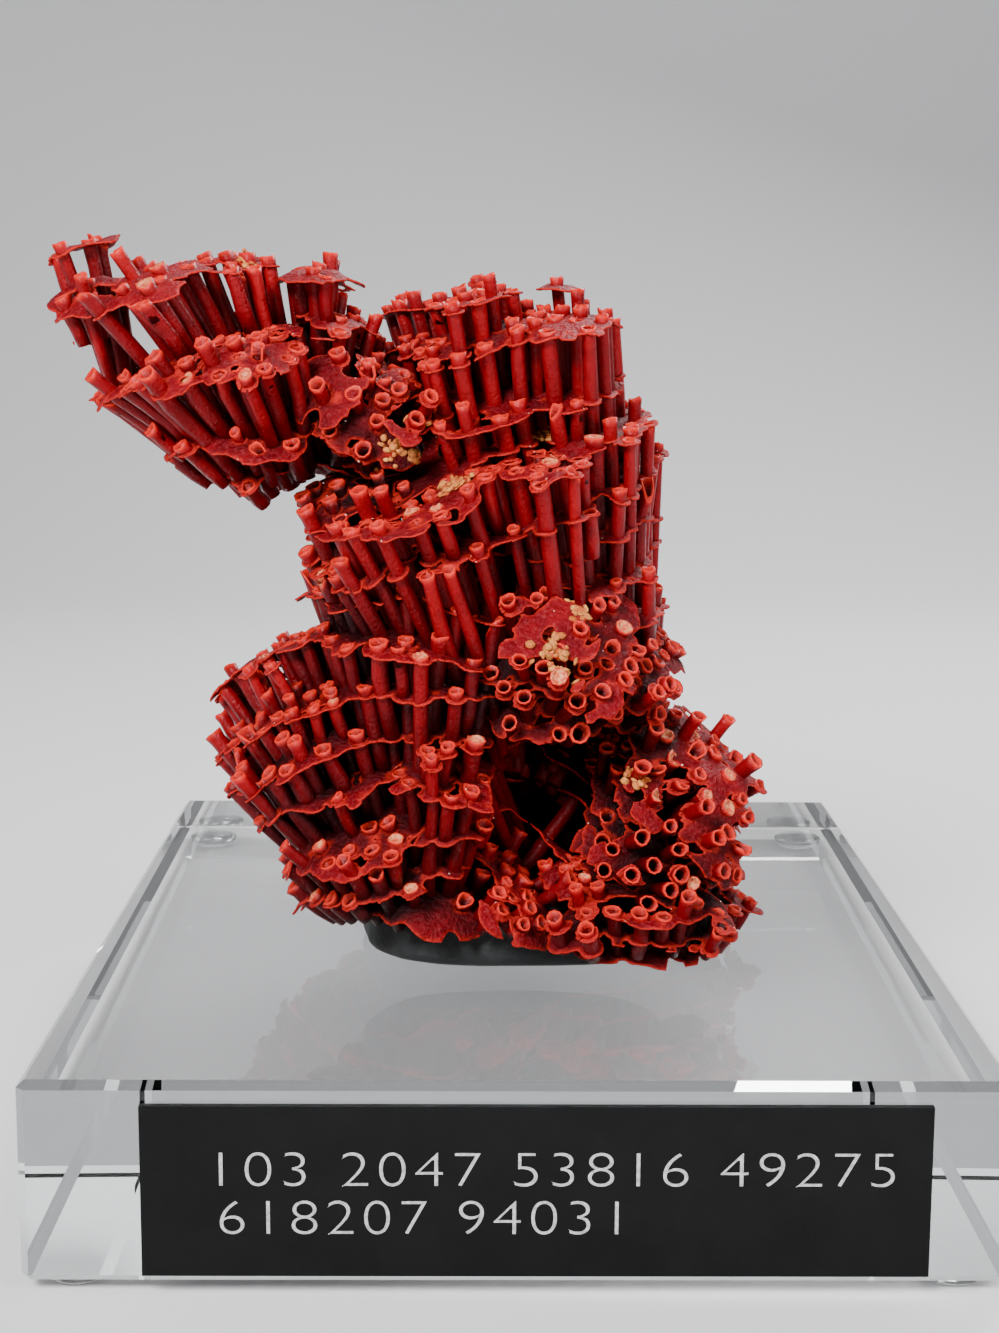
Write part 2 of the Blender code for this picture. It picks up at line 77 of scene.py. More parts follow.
LOBES = {
    "arm": Lobe(
        focus=(-26.5, -13, 80),
        heading=(-0.55, -0.25, 0.8),
        spread=75,
        levels=(9, 15.5, 22.5, 32, 41.3),
        tilt=(-0.32, 0, 0),
        flush=0.5,
        lumps=(
            Lump(-57, -16, 112.5, 7, 12, 8),
            Lump(-47, -16, 110.5, 11.5, 17, 15.5, 25),
            Lump(-37, -15, 107.5, 11.5, 19, 17.3, 12),
            Lump(-24, -11, 104, 9, 15, 10.5),
        ),
        replaces="coral_left_arm",
    ),
    "column": Lobe(
        focus=(18, 2, -10),
        heading=(-0.14, -0.12, 0.98),
        spread=40,
        levels=tuple(72 + 6.6 * step for step in range(10)),
        flush=0.3,
        lumps=(
            Lump(-14.5, 4, 110, 6, 9, 10),
            Lump(-4.5, -8, 111, 8.5, 16, 12),
            Lump(6.5, -8, 109, 8.7, 18, 13),
            Lump(12.5, -8, 92, 8.5, 19, 16),
            Lump(11, -8, 76, 10, 19, 16),
            Lump(-6.5, -12, 98, 13.5, 19, 13.5),
            Lump(-15, -24, 88.5, 15, 18, 8.5, 15),
            Lump(3.5, -18, 92.5, 10.5, 19, 10),
        ),
        replaces="coral_upper_column",
    ),
    "body": Lobe(
        focus=(-12, -24, 22),
        heading=(-0.2, 0.1, 0.95),
        spread=105,
        levels=tuple(14 + 6 * step for step in range(9)),
        lumps=(
            Lump(-12, -15, 69.5, 18.5, 23, 17.5, 10),
            Lump(-27, -14, 55.5, 15.5, 23, 15, 20),
            Lump(-18.5, -14, 43.5, 16.5, 25, 14),
            Lump(-9.5, -24, 52, 9.5, 17, 11),
            Lump(1, -6, 42, 16, 20, 15),
            Lump(-3, -20, 33, 17, 19, 6.5),
        ),
        replaces="coral_base",
    ),
    "knob": Lobe(
        focus=(2, -6, 50),
        heading=(0.2, -0.8, 0.55),
        spread=95,
        levels=(15, 21.5, 28, 34, 40),
        lumps=(
            Lump(4.5, -25, 69.5, 13, 17, 12),
            Lump(16.5, -12, 66, 8, 18, 9),
        ),
        replaces="coral_base",
    ),
    "right": Lobe(
        focus=(12, -8, 34),
        heading=(0.75, -0.45, 0.5),
        spread=125,
        levels=(7.5, 13, 18.5, 24, 29.5),
        lumps=(
            Lump(22.5, -14, 48, 11, 23, 12.5),
            Lump(20.5, -16, 40, 13, 22, 8),
        ),
        replaces="coral_base",
    ),
    "shoulder": Lobe(
        focus=(-20, -8, 88),
        heading=(-0.15, -0.6, 0.8),
        spread=70,
        levels=(10, 15, 20, 26),
        lumps=(
            Lump(-25.5, -24, 106.5, 6.5, 8, 6),
            Lump(-15.5, -21, 100, 8, 9, 6),
        ),
        replaces="coral_upper_column",
    ),
    "skirt": Lobe(
        focus=(15, -16, 0),
        heading=(0.1, -0.3, 0.95),
        spread=62,
        levels=(28.5, 32.5, 36, 40),
        lumps=(
            Lump(16, -25, 32.5, 16, 13.5, 7.5),
            Lump(27, -14, 33, 8, 15, 6.5),
        ),
        replaces="coral_base",
    ),
    "tip": Lobe(
        focus=(-53, -15, 94),
        heading=(-0.12, -0.1, 1),
        spread=50,
        levels=(11.5, 19, 26, 31),
        lumps=(Lump(-57.6, -16.5, 117.5, 6.4, 9.5, 8.3),),
        replaces="coral_left_arm",
    ),
    "back": Lobe(
        focus=(0, -18, 40),
        heading=(0, 0.85, 0.6),
        spread=75,
        levels=(19, 25, 31, 37, 43),
        lumps=(
            Lump(-2, 0, 50, 17, 12, 17),
            Lump(0, 0, 73, 13, 10, 15),
        ),
        replaces="coral_base",
    ),
    "ridge": Lobe(
        focus=(-28, -12, 88),
        heading=(0, -0.15, 1),
        spread=50,
        levels=(13, 20, 26.5, 32),
        lumps=(Lump(-27.5, -13, 113, 7.5, 11, 9.5),),
        replaces="coral_left_arm",
    ),
}

HOLLOW = (Lump(4.6, -31, 49.5, 8, 20, 9),)  # the cave in the colony's front
SHELF = (Lump(-6, -27, 94, 17, 15, 6, 15),)  # where mouths hardly stand up
PAD_MIDDLE = (0.5, -13.0)
PAD_HALF = (22.0, 17.0)
PAD_HEIGHT = 7.0
PAD_GAP = 0.3
PAD_SQUARE = 2.6  # more makes the room that growth leaves for the pad squarer
PRESSED_IN = 1.2  # how far the colony is pushed into the wax
COLONY_BOTTOM = BLOCK_TOP + 1.6  # the lowest that pipes and platforms come
LIFT, LIFT_ENDS = 3.5, 9.0  # left of x = LIFT_ENDS they end higher, by up to LIFT

CANDIDATES = 3.0  # directions tried for each pipe that fits
CROWDING = 0.75  # share of the pipe spacing that a new pipe needs to bud
FIRST_START = 0.6  # share of the first platform's distance where the first pipes start
RISE = (0.6, 2.0)  # how far a mouth stands over its last platform
TALL_MOUTH, TALL_SHARE = (2.6, 4.8), 0.12  # some stand higher
FLUSH_MOUTH, SHELF_TALL_SHARE = (0.1, 0.45), 0.25  # some hardly stand over it
STANDS_OUT = 1.4  # the most that a mouth passes the colony's own outline
CLEARANCE = 1.0  # between a pipe and the ground
STRAY = 0.5  # how far a pipe's lower two thirds may leave the lobes
SHORTEST = 3.0  # a shorter pipe is left out
BURIED = 0.8  # so is one whose mouth is deeper than this in another lobe
REACH_STEP = 0.5
REACH_FROM, REACH_PAST = 4.0, 9.0  # where growth is looked for, past the last platform
REACH_SEED = 5
WIDEST_GAP = 2.0  # radians between pipes, more than any

LEVEL_WANDER = ((1.8, 12.0), (0.35, 3.2))  # how far a platform rises and dips, over what length
EDGE_WANDER = ((2.3, 7.0), (1.1, 1.9))  # the same for its edge
EDGE_OUT = 0.6  # how far a platform's edge stands out from the outermost pipes
SCALLOP, SCALLOP_ENDS = 0.8, 3.0  # how much its edge draws in between them, up to that distance
PATCH_SIZE, PATCH_BIAS = 6.5, 0.46  # of the missing stretches; more bias keeps more platform
HOLE_SIZE, HOLE_BIAS = 2.6, 0.52
PATCH_STEEP, HOLE_STEEP = 9.0, 2.6  # how sharply the platform's edge is drawn at each
SHELL = 9.0  # platforms deeper in than this can't be seen, and are left out
OVERLAP = 3.5  # how deep a platform reaches into another lobe
SLIVER_REACH = 4.0  # from a hollow, where platforms too thin to hold are taken out
COLLAR = 0.5  # width of the ledge that each pipe keeps where it passes a platform
COLLAR_OUT = 3.0  # how far outside the lobes it keeps it
FILLET, FILLET_RISE = 0.8, 1.5  # width and share of the thickening round a pipe
BORE_SHARE = 0.8  # of a pipe's radius that is cut from the platform under its mouth
STOPS_SHORT = 0.6  # a pipe that ends this little under a platform still holds it
OPENS_OVER = 4.0  # a mouth within this distance over a platform opens through it
PIPE_ROOM = 3.2  # how far from a pipe its distance is worked out
FAR_OFF = 9.0  # stands for farther than that
WIDEST_SPREAD = 150  # degrees that a flat sheet can wrap
MARGIN, BARE_RIM = 3.0, 2.0  # of the flat sheet round what is drawn on it, and round the sheet
TIGHTEST = 0.25  # the most that a flat sheet is drawn together when it is wrapped
EDGE_THICKNESS, EDGE_TAPER = 0.35, 0.7  # share of the thickness at an edge, and where it ends
# the bright band at a platform's edge is a painted glow
EDGE_PAINTED_GLOW = 0.9  # width of the bright band at an edge
CUT_LIMITS = (0.08, 0.92)  # keeps slim triangles out of a platform's edge
TAKEN_OUT = -0.1  # the field where a sliver was

NOISE_CELLS, NOISE_SHIFT, NOISE_GAIN = 32, 7.31, 1.4  # of the table behind soft_noise


def placed(points):
    """Growth millimetres to the frame's metres."""
    return np.asarray(points, float) * MM + BLOCK_FOOT


def soft_noise(points, size, seed):
    """Smooth noise from -1 to 1 at each point, with features of about that size."""
    table = np.random.default_rng(seed).uniform(-1, 1, (NOISE_CELLS,) * 3)
    scaled = points / size + NOISE_SHIFT
    cell = np.floor(scaled).astype(int)
    part = scaled - cell
    part = part * part * (3 - 2 * part)
    total = np.zeros(len(points))
    for corner in np.ndindex(2, 2, 2):
        weight = np.prod(np.where(corner, part, 1 - part), axis=1)
        x, y, z = ((cell + corner) % NOISE_CELLS).T
        total += weight * table[x, y, z]
    return np.clip(total * NOISE_GAIN, -1, 1)


def layered_noise(points, layers, seed):
    """Noise of several heights, each over its own length."""
    return sum(
        height * soft_noise(points, size, seed + 31 * index)
        for index, (height, size) in enumerate(layers)
    )


def depth_in(points, lumps):
    """How deep each point lies in the lumps, less than 0 outside them."""
    best = np.full(len(points), -1e3)
    for lump in lumps:
        turn = radians(lump.lean)
        local = points - np.array((lump.x, lump.y, lump.z))
        across = local[:, 0] * cos(turn) + local[:, 2] * sin(turn)
        up = local[:, 2] * cos(turn) - local[:, 0] * sin(turn)
        local = np.column_stack((across, local[:, 1], up))
        share = np.linalg.norm(local / (lump.rx, lump.ry, lump.rz), axis=1) + 1e-6
        far = np.linalg.norm(local, axis=1)
        np.maximum(best, far / share - far, out=best)
    return best


def lumps_beside(name):
    """The lumps of all the other lobes."""
    return [lump for key, held in LOBES.items() if key != name for lump in held.lumps]


def ground_under(points):
    """The lowest that growth comes at each point: a little into the wax, or just over the block."""
    across = np.abs(points[:, :2] - PAD_MIDDLE) / PAD_HALF
    on_pad = (across**PAD_SQUARE).sum(axis=1) < 1
    pad_top = BLOCK_TOP + PAD_GAP + PAD_HEIGHT - PRESSED_IN
    lifted = COLONY_BOTTOM + LIFT * np.clip(1 - points[:, 0] / LIFT_ENDS, 0, 1)
    return np.where(on_pad, pad_top, lifted)


def axes_of(lobe):
    """The lobe's two axes across its heading, and the heading itself."""
    ahead = Vector(lobe.heading).normalized()
    side = Vector((0.0, 1.0, 0.0)).cross(ahead).normalized()
    return np.array((side, ahead.cross(side), ahead))


def outermost(lobe):
    """The farthest that the lobe's last platform lies from its focus."""
    return lobe.levels[-1] * (1 + np.linalg.norm(lobe.tilt))


def cone_directions(lobe, spacing):
    """Unit vectors spread evenly over the lobe's cone, on the golden spiral."""
    least = cos(radians(lobe.spread))
    area = tau * (1 - least) * outermost(lobe) ** 2
    count = int(CANDIDATES * area / spacing**2)
    steps = np.arange(count) + 0.5
    up = 1 - (1 - least) * steps / count
    turn = steps * pi * (1 + 5**0.5)
    flat = np.sqrt(1 - up * up)
    return np.column_stack((flat * np.cos(turn), flat * np.sin(turn), up)) @ axes_of(lobe)


def stretch(lobe, directions):
    """How much farther out the lobe's platforms lie along each direction than straight ahead."""
    return 1 + directions @ np.array(lobe.tilt)


def reach(lobe, directions):
    """How far the lobe has grown along each direction, 0 where it has not."""
    found = np.zeros(len(directions))
    for distance in np.arange(REACH_FROM, outermost(lobe) + REACH_PAST, REACH_STEP):
        spots = lobe.focus + distance * directions
        held = (depth_in(spots, lobe.lumps) > 0) & (depth_in(spots, HOLLOW) < 0)
        found[held] = distance
    return found


def budding_order(directions, least_angle):
    """Indices of the directions, each the farthest from those before it, with that angle."""
    nearest = np.full(len(directions), WIDEST_GAP)
    chosen, angles = [0], [WIDEST_GAP]
    while True:
        away = np.arccos(np.clip(directions @ directions[chosen[-1]], -1, 1))
        np.minimum(nearest, away, out=nearest)
        farthest = int(nearest.argmax())
        if nearest[farthest] < least_angle:
            return np.array(chosen), np.array(angles)
        chosen.append(farthest)
        angles.append(nearest[farthest])


def level_at(lobe, level, directions):
    """The distance from the focus of a platform along each direction, as it rises and dips."""
    distance = level * stretch(lobe, directions)
    spots = lobe.focus + distance[:, None] * directions
    return distance + layered_noise(spots, LEVEL_WANDER, int(level * 10))


def grow_pipes(name, lobe, spacing, random):
    """The lobe's pipes as arrays of the way that each grows, and its start and end along it."""
    directions = cone_directions(lobe, spacing)
    grown = directions[reach(lobe, directions) >= lobe.levels[0]]
    least = spacing * CROWDING
    order, angles = budding_order(grown, least / outermost(lobe))
    ways = grown[order]
    ends = lobe.focus + lobe.levels[-1] * ways
    reached = reach(lobe, ways) + layered_noise(ends, EDGE_WANDER, REACH_SEED)
    others = lumps_beside(name)
    levels = np.array(lobe.levels)
    pipes = {"way": [], "start": [], "end": []}
    for way, far, birth, wider in zip(ways, reached, least / angles, stretch(lobe, ways)):
        below = levels[levels * wider <= far]
        if not len(below) or birth > below[-1] * wider:
            continue
        born = levels[levels * wider <= birth]
        start = wider * (born[-1] if len(born) else levels[0] * FIRST_START)
        kind = random.random()
        rise = random.uniform(*RISE)
        if kind < TALL_SHARE:
            rise = random.uniform(*TALL_MOUTH)
        elif kind > 1 - lobe.flush:
            rise = random.uniform(*FLUSH_MOUTH)
        level = level_at(lobe, below[-1], way[None])[0]
        if kind > SHELF_TALL_SHARE and depth_in((lobe.focus + level * way)[None], SHELF)[0] > 0:
            rise = random.uniform(*FLUSH_MOUTH)
        end = max(level + FLUSH_MOUTH[0], min(level + rise, far + STANDS_OUT))
        run = lobe.focus + np.outer(np.arange(start, end, REACH_STEP), way)
        bare = (run[:, 2] < ground_under(run) + CLEARANCE) | (depth_in(run, HOLLOW) > 0)
        lower = len(bare) * 2 // 3
        bare[:lower] |= depth_in(run[:lower], [*others, *lobe.lumps]) < -STRAY
        if bare.any():
            start += REACH_STEP * (np.flatnonzero(bare)[-1] + 1)
        mouth = lobe.focus + way * end
        if end - start < SHORTEST or depth_in(mouth[None], others)[0] > BURIED:
            continue
        for key, value in zip(pipes, (way, start, end)):
            pipes[key].append(value)
    return {key: np.array(value) for key, value in pipes.items()}


# ---- platforms --------------------------------------------------------------------------------


def clip_grid(field):
    """Triangles of a square grid where the field is over 0, with its edge cut between the grid's
    points. Returns (index of a, index of b), the share from a to b, and the triangles."""
    rows, columns = field.shape
    index = np.arange(rows * columns).reshape(rows, columns)
    a, b = index[:-1, :-1].ravel(), index[:-1, 1:].ravel()
    c, d = index[1:, 1:].ravel(), index[1:, :-1].ravel()
    flat = field.ravel()
    triangles = np.concatenate((np.c_[a, b, c], np.c_[a, c, d]))
    inside = flat[triangles] > 0
    count = inside.sum(axis=1)
    whole = triangles[count == 3]
    pieces = [np.stack((whole, whole), axis=2)]
    for wanted in (1, 2):
        some = triangles[count == wanted]
        odd = (inside[count == wanted] == (wanted == 1)).argmax(axis=1)
        turned = (odd[:, None] + np.arange(3)) % 3
        p, q, r = np.take_along_axis(some, turned, axis=1).T
        if wanted == 1:
            pieces.append(np.stack((np.c_[p, p, p], np.c_[p, q, r]), axis=2))
        else:
            pieces.append(np.stack((np.c_[p, q, r], np.c_[q, q, r]), axis=2))
            pieces.append(np.stack((np.c_[p, r, p], np.c_[q, r, r]), axis=2))
    corners = np.sort(np.concatenate(pieces), axis=2).reshape(-1, 2)
    pairs, back = np.unique(corners, axis=0, return_inverse=True)
    kept = pairs[:, 0] == pairs[:, 1]
    low, high = flat[pairs[:, 0]], flat[pairs[:, 1]]
    cut = low / np.where(kept, 1.0, low - high)
    return pairs, np.where(kept, 0.0, np.clip(cut, *CUT_LIMITS)), back.reshape(-1, 3)


def neighbours(mask, points):
    """The mask grown by that many points every way."""
    for axis in (0, 1):
        mask = np.any([np.roll(mask, step, axis) for step in range(-points, points + 1)], axis=0)
    return mask


def without_slivers(field):
    """The field with parts too thin to hold together, less than three points wide, taken out."""
    cores = ~neighbours(field <= 0, 1)
    kept = neighbours(cores, 2)
    return np.where(kept, field, np.minimum(field, TAKEN_OUT))


def directions_at(lobe, level, u, v):
    """Directions of flat points u, v (mm along the platform from the heading)."""
    lean = np.hypot(u, v) / level
    turn = np.arctan2(v, u)
    flat = np.sin(lean)
    return np.column_stack((flat * np.cos(turn), flat * np.sin(turn), np.cos(lean))) @ axes_of(lobe)


def flat_places(lobe, level, ways):
    """The flat points u, v of directions: the inverse of directions_at."""
    side, other, ahead = axes_of(lobe) @ ways.T
    lean = np.arccos(np.clip(ahead, -1, 1)) * level
    turn = np.arctan2(other, side)
    return lean * np.cos(turn), lean * np.sin(turn)


def pipe_distances(lobe, level, pipes, u, v, pitch):
    """For each grid point, how far it is from the nearest pipe that passes this level, and from
    the nearest pipe whose mouth opens just above it."""
    passing = np.full(u.shape, FAR_OFF)
    opening = np.full(u.shape, FAR_OFF)
    distance = level * stretch(lobe, pipes["way"])
    crossing = (pipes["start"] <= distance) & (pipes["end"] >= distance - STOPS_SHORT)
    near = int(PIPE_ROOM / pitch) + 1
    across = directions_at(lobe, level, u.ravel(), v.ravel()).reshape(*u.shape, 3)
    for index in np.flatnonzero(crossing):
        way = pipes["way"][index]
        pu, pv = flat_places(lobe, level, way[None])
        row = int(round((pv[0] - v[0, 0]) / pitch))
        column = int(round((pu[0] - u[0, 0]) / pitch))
        # Far from the heading the flat sheet is stretched, so more of its points are near.
        wider = int(near * max(1.0, 1.0 / max(TIGHTEST, np.sinc(np.hypot(pu, pv)[0] / level / pi))))
        rows = slice(max(0, row - wider), row + wider + 1)
        columns = slice(max(0, column - wider), column + wider + 1)
        away = np.linalg.norm(across[rows, columns] - way, axis=2) * distance[index]
        np.minimum(passing[rows, columns], away, out=passing[rows, columns])
        if pipes["end"][index] - distance[index] < OPENS_OVER:
            np.minimum(opening[rows, columns], away, out=opening[rows, columns])
    return passing, opening


def platform_sheet(name, lobe, level, pipes, radius, pitch):
    """One platform as a thin sheet: points, outward directions, thickness share, how near its
    edge each point is, and triangles. None where nothing is left of it."""
    widest = level * radians(min(lobe.spread, WIDEST_SPREAD)) + MARGIN
    steps = np.arange(-widest, widest + pitch, pitch)
    u, v = np.meshgrid(steps, steps)
    flat_u, flat_v = u.ravel(), v.ravel()
    ways = directions_at(lobe, level, flat_u, flat_v)
    spots = lobe.focus + (level * stretch(lobe, ways))[:, None] * ways
    own = depth_in(spots, lobe.lumps)
    near = (own > -MARGIN - 1) & (own < SHELL + MARGIN)
    close, own = spots[near], own[near]
    all_passing, all_opening = pipe_distances(lobe, level, pipes, u, v, pitch)
    passing, opening = all_passing.ravel()[near], all_opening.ravel()[near]
    seed = int(level * 7) + len(name)
    edge = own + EDGE_OUT + layered_noise(close, EDGE_WANDER, seed)
    edge -= SCALLOP * np.clip(passing - radius - COLLAR, 0, SCALLOP_ENDS)
    patch = PATCH_STEEP * (soft_noise(close, PATCH_SIZE, seed + 1) + PATCH_BIAS)
    hole = HOLE_STEEP * (soft_noise(close, HOLE_SIZE, seed + 2) + HOLE_BIAS)
    collar = np.where(own > -COLLAR_OUT, radius + COLLAR - passing, -1.0)
    in_hollow = depth_in(close, HOLLOW)
    sheet = np.maximum(np.minimum.reduce((edge, patch, hole)), collar)
    for limit in (
        opening - radius * BORE_SHARE,
        SHELL - own,
        close[:, 2] - ground_under(close),
        OVERLAP - depth_in(close, lumps_beside(name)),
        -in_hollow,
    ):
        sheet = np.minimum(sheet, limit)
    field = np.full(len(spots), -1.0)
    field[near] = np.where(np.hypot(flat_u, flat_v)[near] < widest - BARE_RIM, sheet, -1.0)
    thin = without_slivers(field.reshape(u.shape)).ravel()
    by_hollow = np.flatnonzero(near)[in_hollow > -SLIVER_REACH]
    field[by_hollow] = thin[by_hollow]
    pairs, share, triangles = clip_grid(field.reshape(u.shape))
    if not len(triangles):
        return None
    first, second = pairs.T
    at_u = flat_u[first] * (1 - share) + flat_u[second] * share
    at_v = flat_v[first] * (1 - share) + flat_v[second] * share
    ways = directions_at(lobe, level, at_u, at_v)
    points = lobe.focus + ways * level_at(lobe, level, ways)[:, None]
    inner = np.where(share > 0, 0.0, np.maximum(field[first], 0.0))
    by_pipe = np.clip(1 - (all_passing.ravel()[first] - radius) / FILLET, 0, 1)
    thick = EDGE_THICKNESS + (1 - EDGE_THICKNESS) * np.clip(inner / EDGE_TAPER, 0, 1)
    thick += FILLET_RISE * by_pipe**2 * np.clip(inner, 0, 1)
    return points, ways, thick, 1 - np.clip(inner / EDGE_PAINTED_GLOW, 0, 1), triangles


# ---- meshes and nodes -------------------------------------------------------------------------


def linear(code):
    """An sRGB hex colour as linear red, green, blue."""
    parts = [int(code[start : start + 2], 16) / 255 for start in (1, 3, 5)]
    return tuple(p / 12.92 if p <= 0.04045 else ((p + 0.055) / 1.055) ** 2.4 for p in parts)


def shade(code):
    """The same with full opacity, as a colour socket takes it."""
    return (*linear(code), 1.0)


def linked(name, data):
    """A new object that holds the data, in the scene."""
    obj = bpy.data.objects.new(name, data)
    bpy.context.scene.collection.objects.link(obj)
    return obj


def store_attribute(mesh, name, values):
    """Keeps a number or a vector for each point."""
    values = np.asarray(values, np.float32)
    kind, part = ("FLOAT_VECTOR", "vector") if values.ndim == 2 else ("FLOAT", "value")
    mesh.attributes.new(name, kind, "POINT").data.foreach_set(part, values.ravel())


def drop_attributes(mesh, names):
    for name in names:
        mesh.attributes.remove(mesh.attributes[name])


def mesh_object(name, points, faces, **held):
    """A mesh object in the frame's metres, with point attributes."""
    mesh = bpy.data.meshes.new(name)
    mesh.from_pydata(np.asarray(points).tolist(), [], [tuple(face) for face in faces])
    for key, values in held.items():
        store_attribute(mesh, key, values)
    return linked(name, mesh)


def vertex_places(mesh):
    flat = np.empty(len(mesh.vertices) * 3)
    mesh.vertices.foreach_get("co", flat)
    return flat.reshape(-1, 3)


def circle(sides):
    """Points round a circle of radius 1."""
    turns = tau * np.arange(sides) / sides
    return np.column_stack((np.cos(turns), np.sin(turns), np.zeros(sides)))


def lofted(rings):
    """Points and faces of a closed body through rings of points, from its foot up."""
    sides = len(rings[0])
    last = (len(rings) - 1) * sides
    after = (np.arange(sides) + 1) % sides
    faces = [
        (row + this, row + then, row + sides + then, row + sides + this)
        for row in range(0, last, sides)
        for this, then in enumerate(after)
    ]
    faces += [tuple(range(sides))[::-1], tuple(range(last, last + sides))]
    return np.concatenate(rings), faces


def finish_piece(obj, slot, *nodes):
    """Fixes a piece to the display and hides the solids that it takes over. slot is not used."""
    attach(obj, "root")
    if nodes:
        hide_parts(*nodes)


def evaluated_mesh(obj):
    """The object's mesh as it stands after its modifiers, or its text as a mesh."""
    bpy.context.view_layer.update()
    seen = obj.evaluated_get(bpy.context.evaluated_depsgraph_get())
    return bpy.data.meshes.new_from_object(seen)


def realise(obj, tree, values):
    """Runs a Geometry Nodes tree on the object and keeps the result as its plain mesh."""
    step = obj.modifiers.new("grow", "NODES")
    step.node_group = tree
    for item in tree.interface.items_tree:
        if item.in_out == "INPUT" and item.name in values:
            step[item.identifier] = values[item.name]
    mesh = evaluated_mesh(obj)
    obj.modifiers.clear()
    old, name = obj.data, obj.name
    obj.data = mesh
    bpy.data.meshes.remove(old)
    mesh.name = name


def add_node(tree, kind, inputs=(), **settings):
    """A node of that kind. inputs maps each socket to a value, to another node's output, or to
    another node, which stands for its first output."""
    node = tree.nodes.new(kind)
    for key, value in settings.items():
        setattr(node, key, value)
    for key, value in dict(inputs).items():
        source = value.outputs[0] if isinstance(value, bpy.types.Node) else value
        if isinstance(source, bpy.types.NodeSocket):
            tree.links.new(source, node.inputs[key])
        else:
            node.inputs[key].default_value = source
    return node


def new_tree(name, sockets):
    """An empty Geometry Nodes tree with a geometry in and out and these named inputs."""
    tree = bpy.data.node_groups.new(name, "GeometryNodeTree")
    tree.interface.new_socket(name="Geometry", in_out="INPUT", socket_type="NodeSocketGeometry")
    tree.interface.new_socket(name="Geometry", in_out="OUTPUT", socket_type="NodeSocketGeometry")
    for label, kind in sockets:
        tree.interface.new_socket(name=label, in_out="INPUT", socket_type=f"NodeSocket{kind}")
    return tree, add_node(tree, "NodeGroupInput").outputs


# ---- trees ------------------------------------------------------------------------------------

GROWTH_SOCKETS = (
    ("Growth Wander", "Float"),
    ("Growth Swirl", "Float"),
    ("Surface Wander", "Float"),
    ("Material", "Material"),
)
SURFACE_SWIRL = 3.0 * MM
RIM_GRAIN = 0.9 * MM
PLUG_DEPTH = 0.4 * MM  # a plugged bore has its floor just under the rim
PIPE_ATTRIBUTES = {
    "FLOAT_VECTOR": ("foot", "axis", "notch", "bend"),
    "FLOAT": ("span", "girth", "plug", "share", "drop", "bore", "near_mouth", "lip"),
}


def wander_tree():
    """Moves points along a slow swirl that is the same wherever pipes and platforms meet."""
    name = "growth_wander"
    if name in bpy.data.node_groups:
        return bpy.data.node_groups[name]
    tree, given = new_tree(name, (("Reach", "Float"), ("Swirl Size", "Float"), ("Seed", "Float")))
    scale = add_node(tree, "ShaderNodeMath", {0: 1.0, 1: given["Swirl Size"]}, operation="DIVIDE")
    place = add_node(tree, "GeometryNodeInputPosition")
    swirl = add_node(
        tree,
        "ShaderNodeTexNoise",
        {"Vector": place, "W": given["Seed"], "Scale": scale, "Detail": 1.0},
        noise_dimensions="4D",
    ).outputs["Color"]
    middle = {0: swirl, 1: (0.5, 0.5, 0.5)}
    middle = add_node(tree, "ShaderNodeVectorMath", middle, operation="SUBTRACT")
    twice = add_node(tree, "ShaderNodeMath", {0: given["Reach"], 1: 2.0}, operation="MULTIPLY")
    offset = add_node(tree, "ShaderNodeVectorMath", {0: middle, "Scale": twice}, operation="SCALE")
    shifted = {"Geometry": given["Geometry"], "Offset": offset}
    moved = add_node(tree, "GeometryNodeSetPosition", shifted)
    add_node(tree, "NodeGroupOutput", {"Geometry": moved})
    return tree


def finish_growth(tree, geometry, given):
    """The growth's slow swirl, the surface's own small unevenness, and the material."""
    for reach_socket, swirl, seed in (
        ("Growth Wander", given["Growth Swirl"], 3.0),
        ("Surface Wander", SURFACE_SWIRL, 8.0),
    ):
        geometry = add_node(
            tree,
            "GeometryNodeGroup",
            {"Geometry": geometry, "Reach": given[reach_socket], "Swirl Size": swirl, "Seed": seed},
            node_tree=wander_tree(),
        )
    finish_tree(tree, geometry, given)


def finish_tree(tree, geometry, given):
    """Smooth shading and the material, and out."""
    smooth = add_node(tree, "GeometryNodeSetShadeSmooth", {"Geometry": geometry})
    painted = {"Geometry": smooth, "Material": given["Material"]}
    finished = add_node(tree, "GeometryNodeSetMaterial", painted)
    add_node(tree, "NodeGroupOutput", {"Geometry": finished})


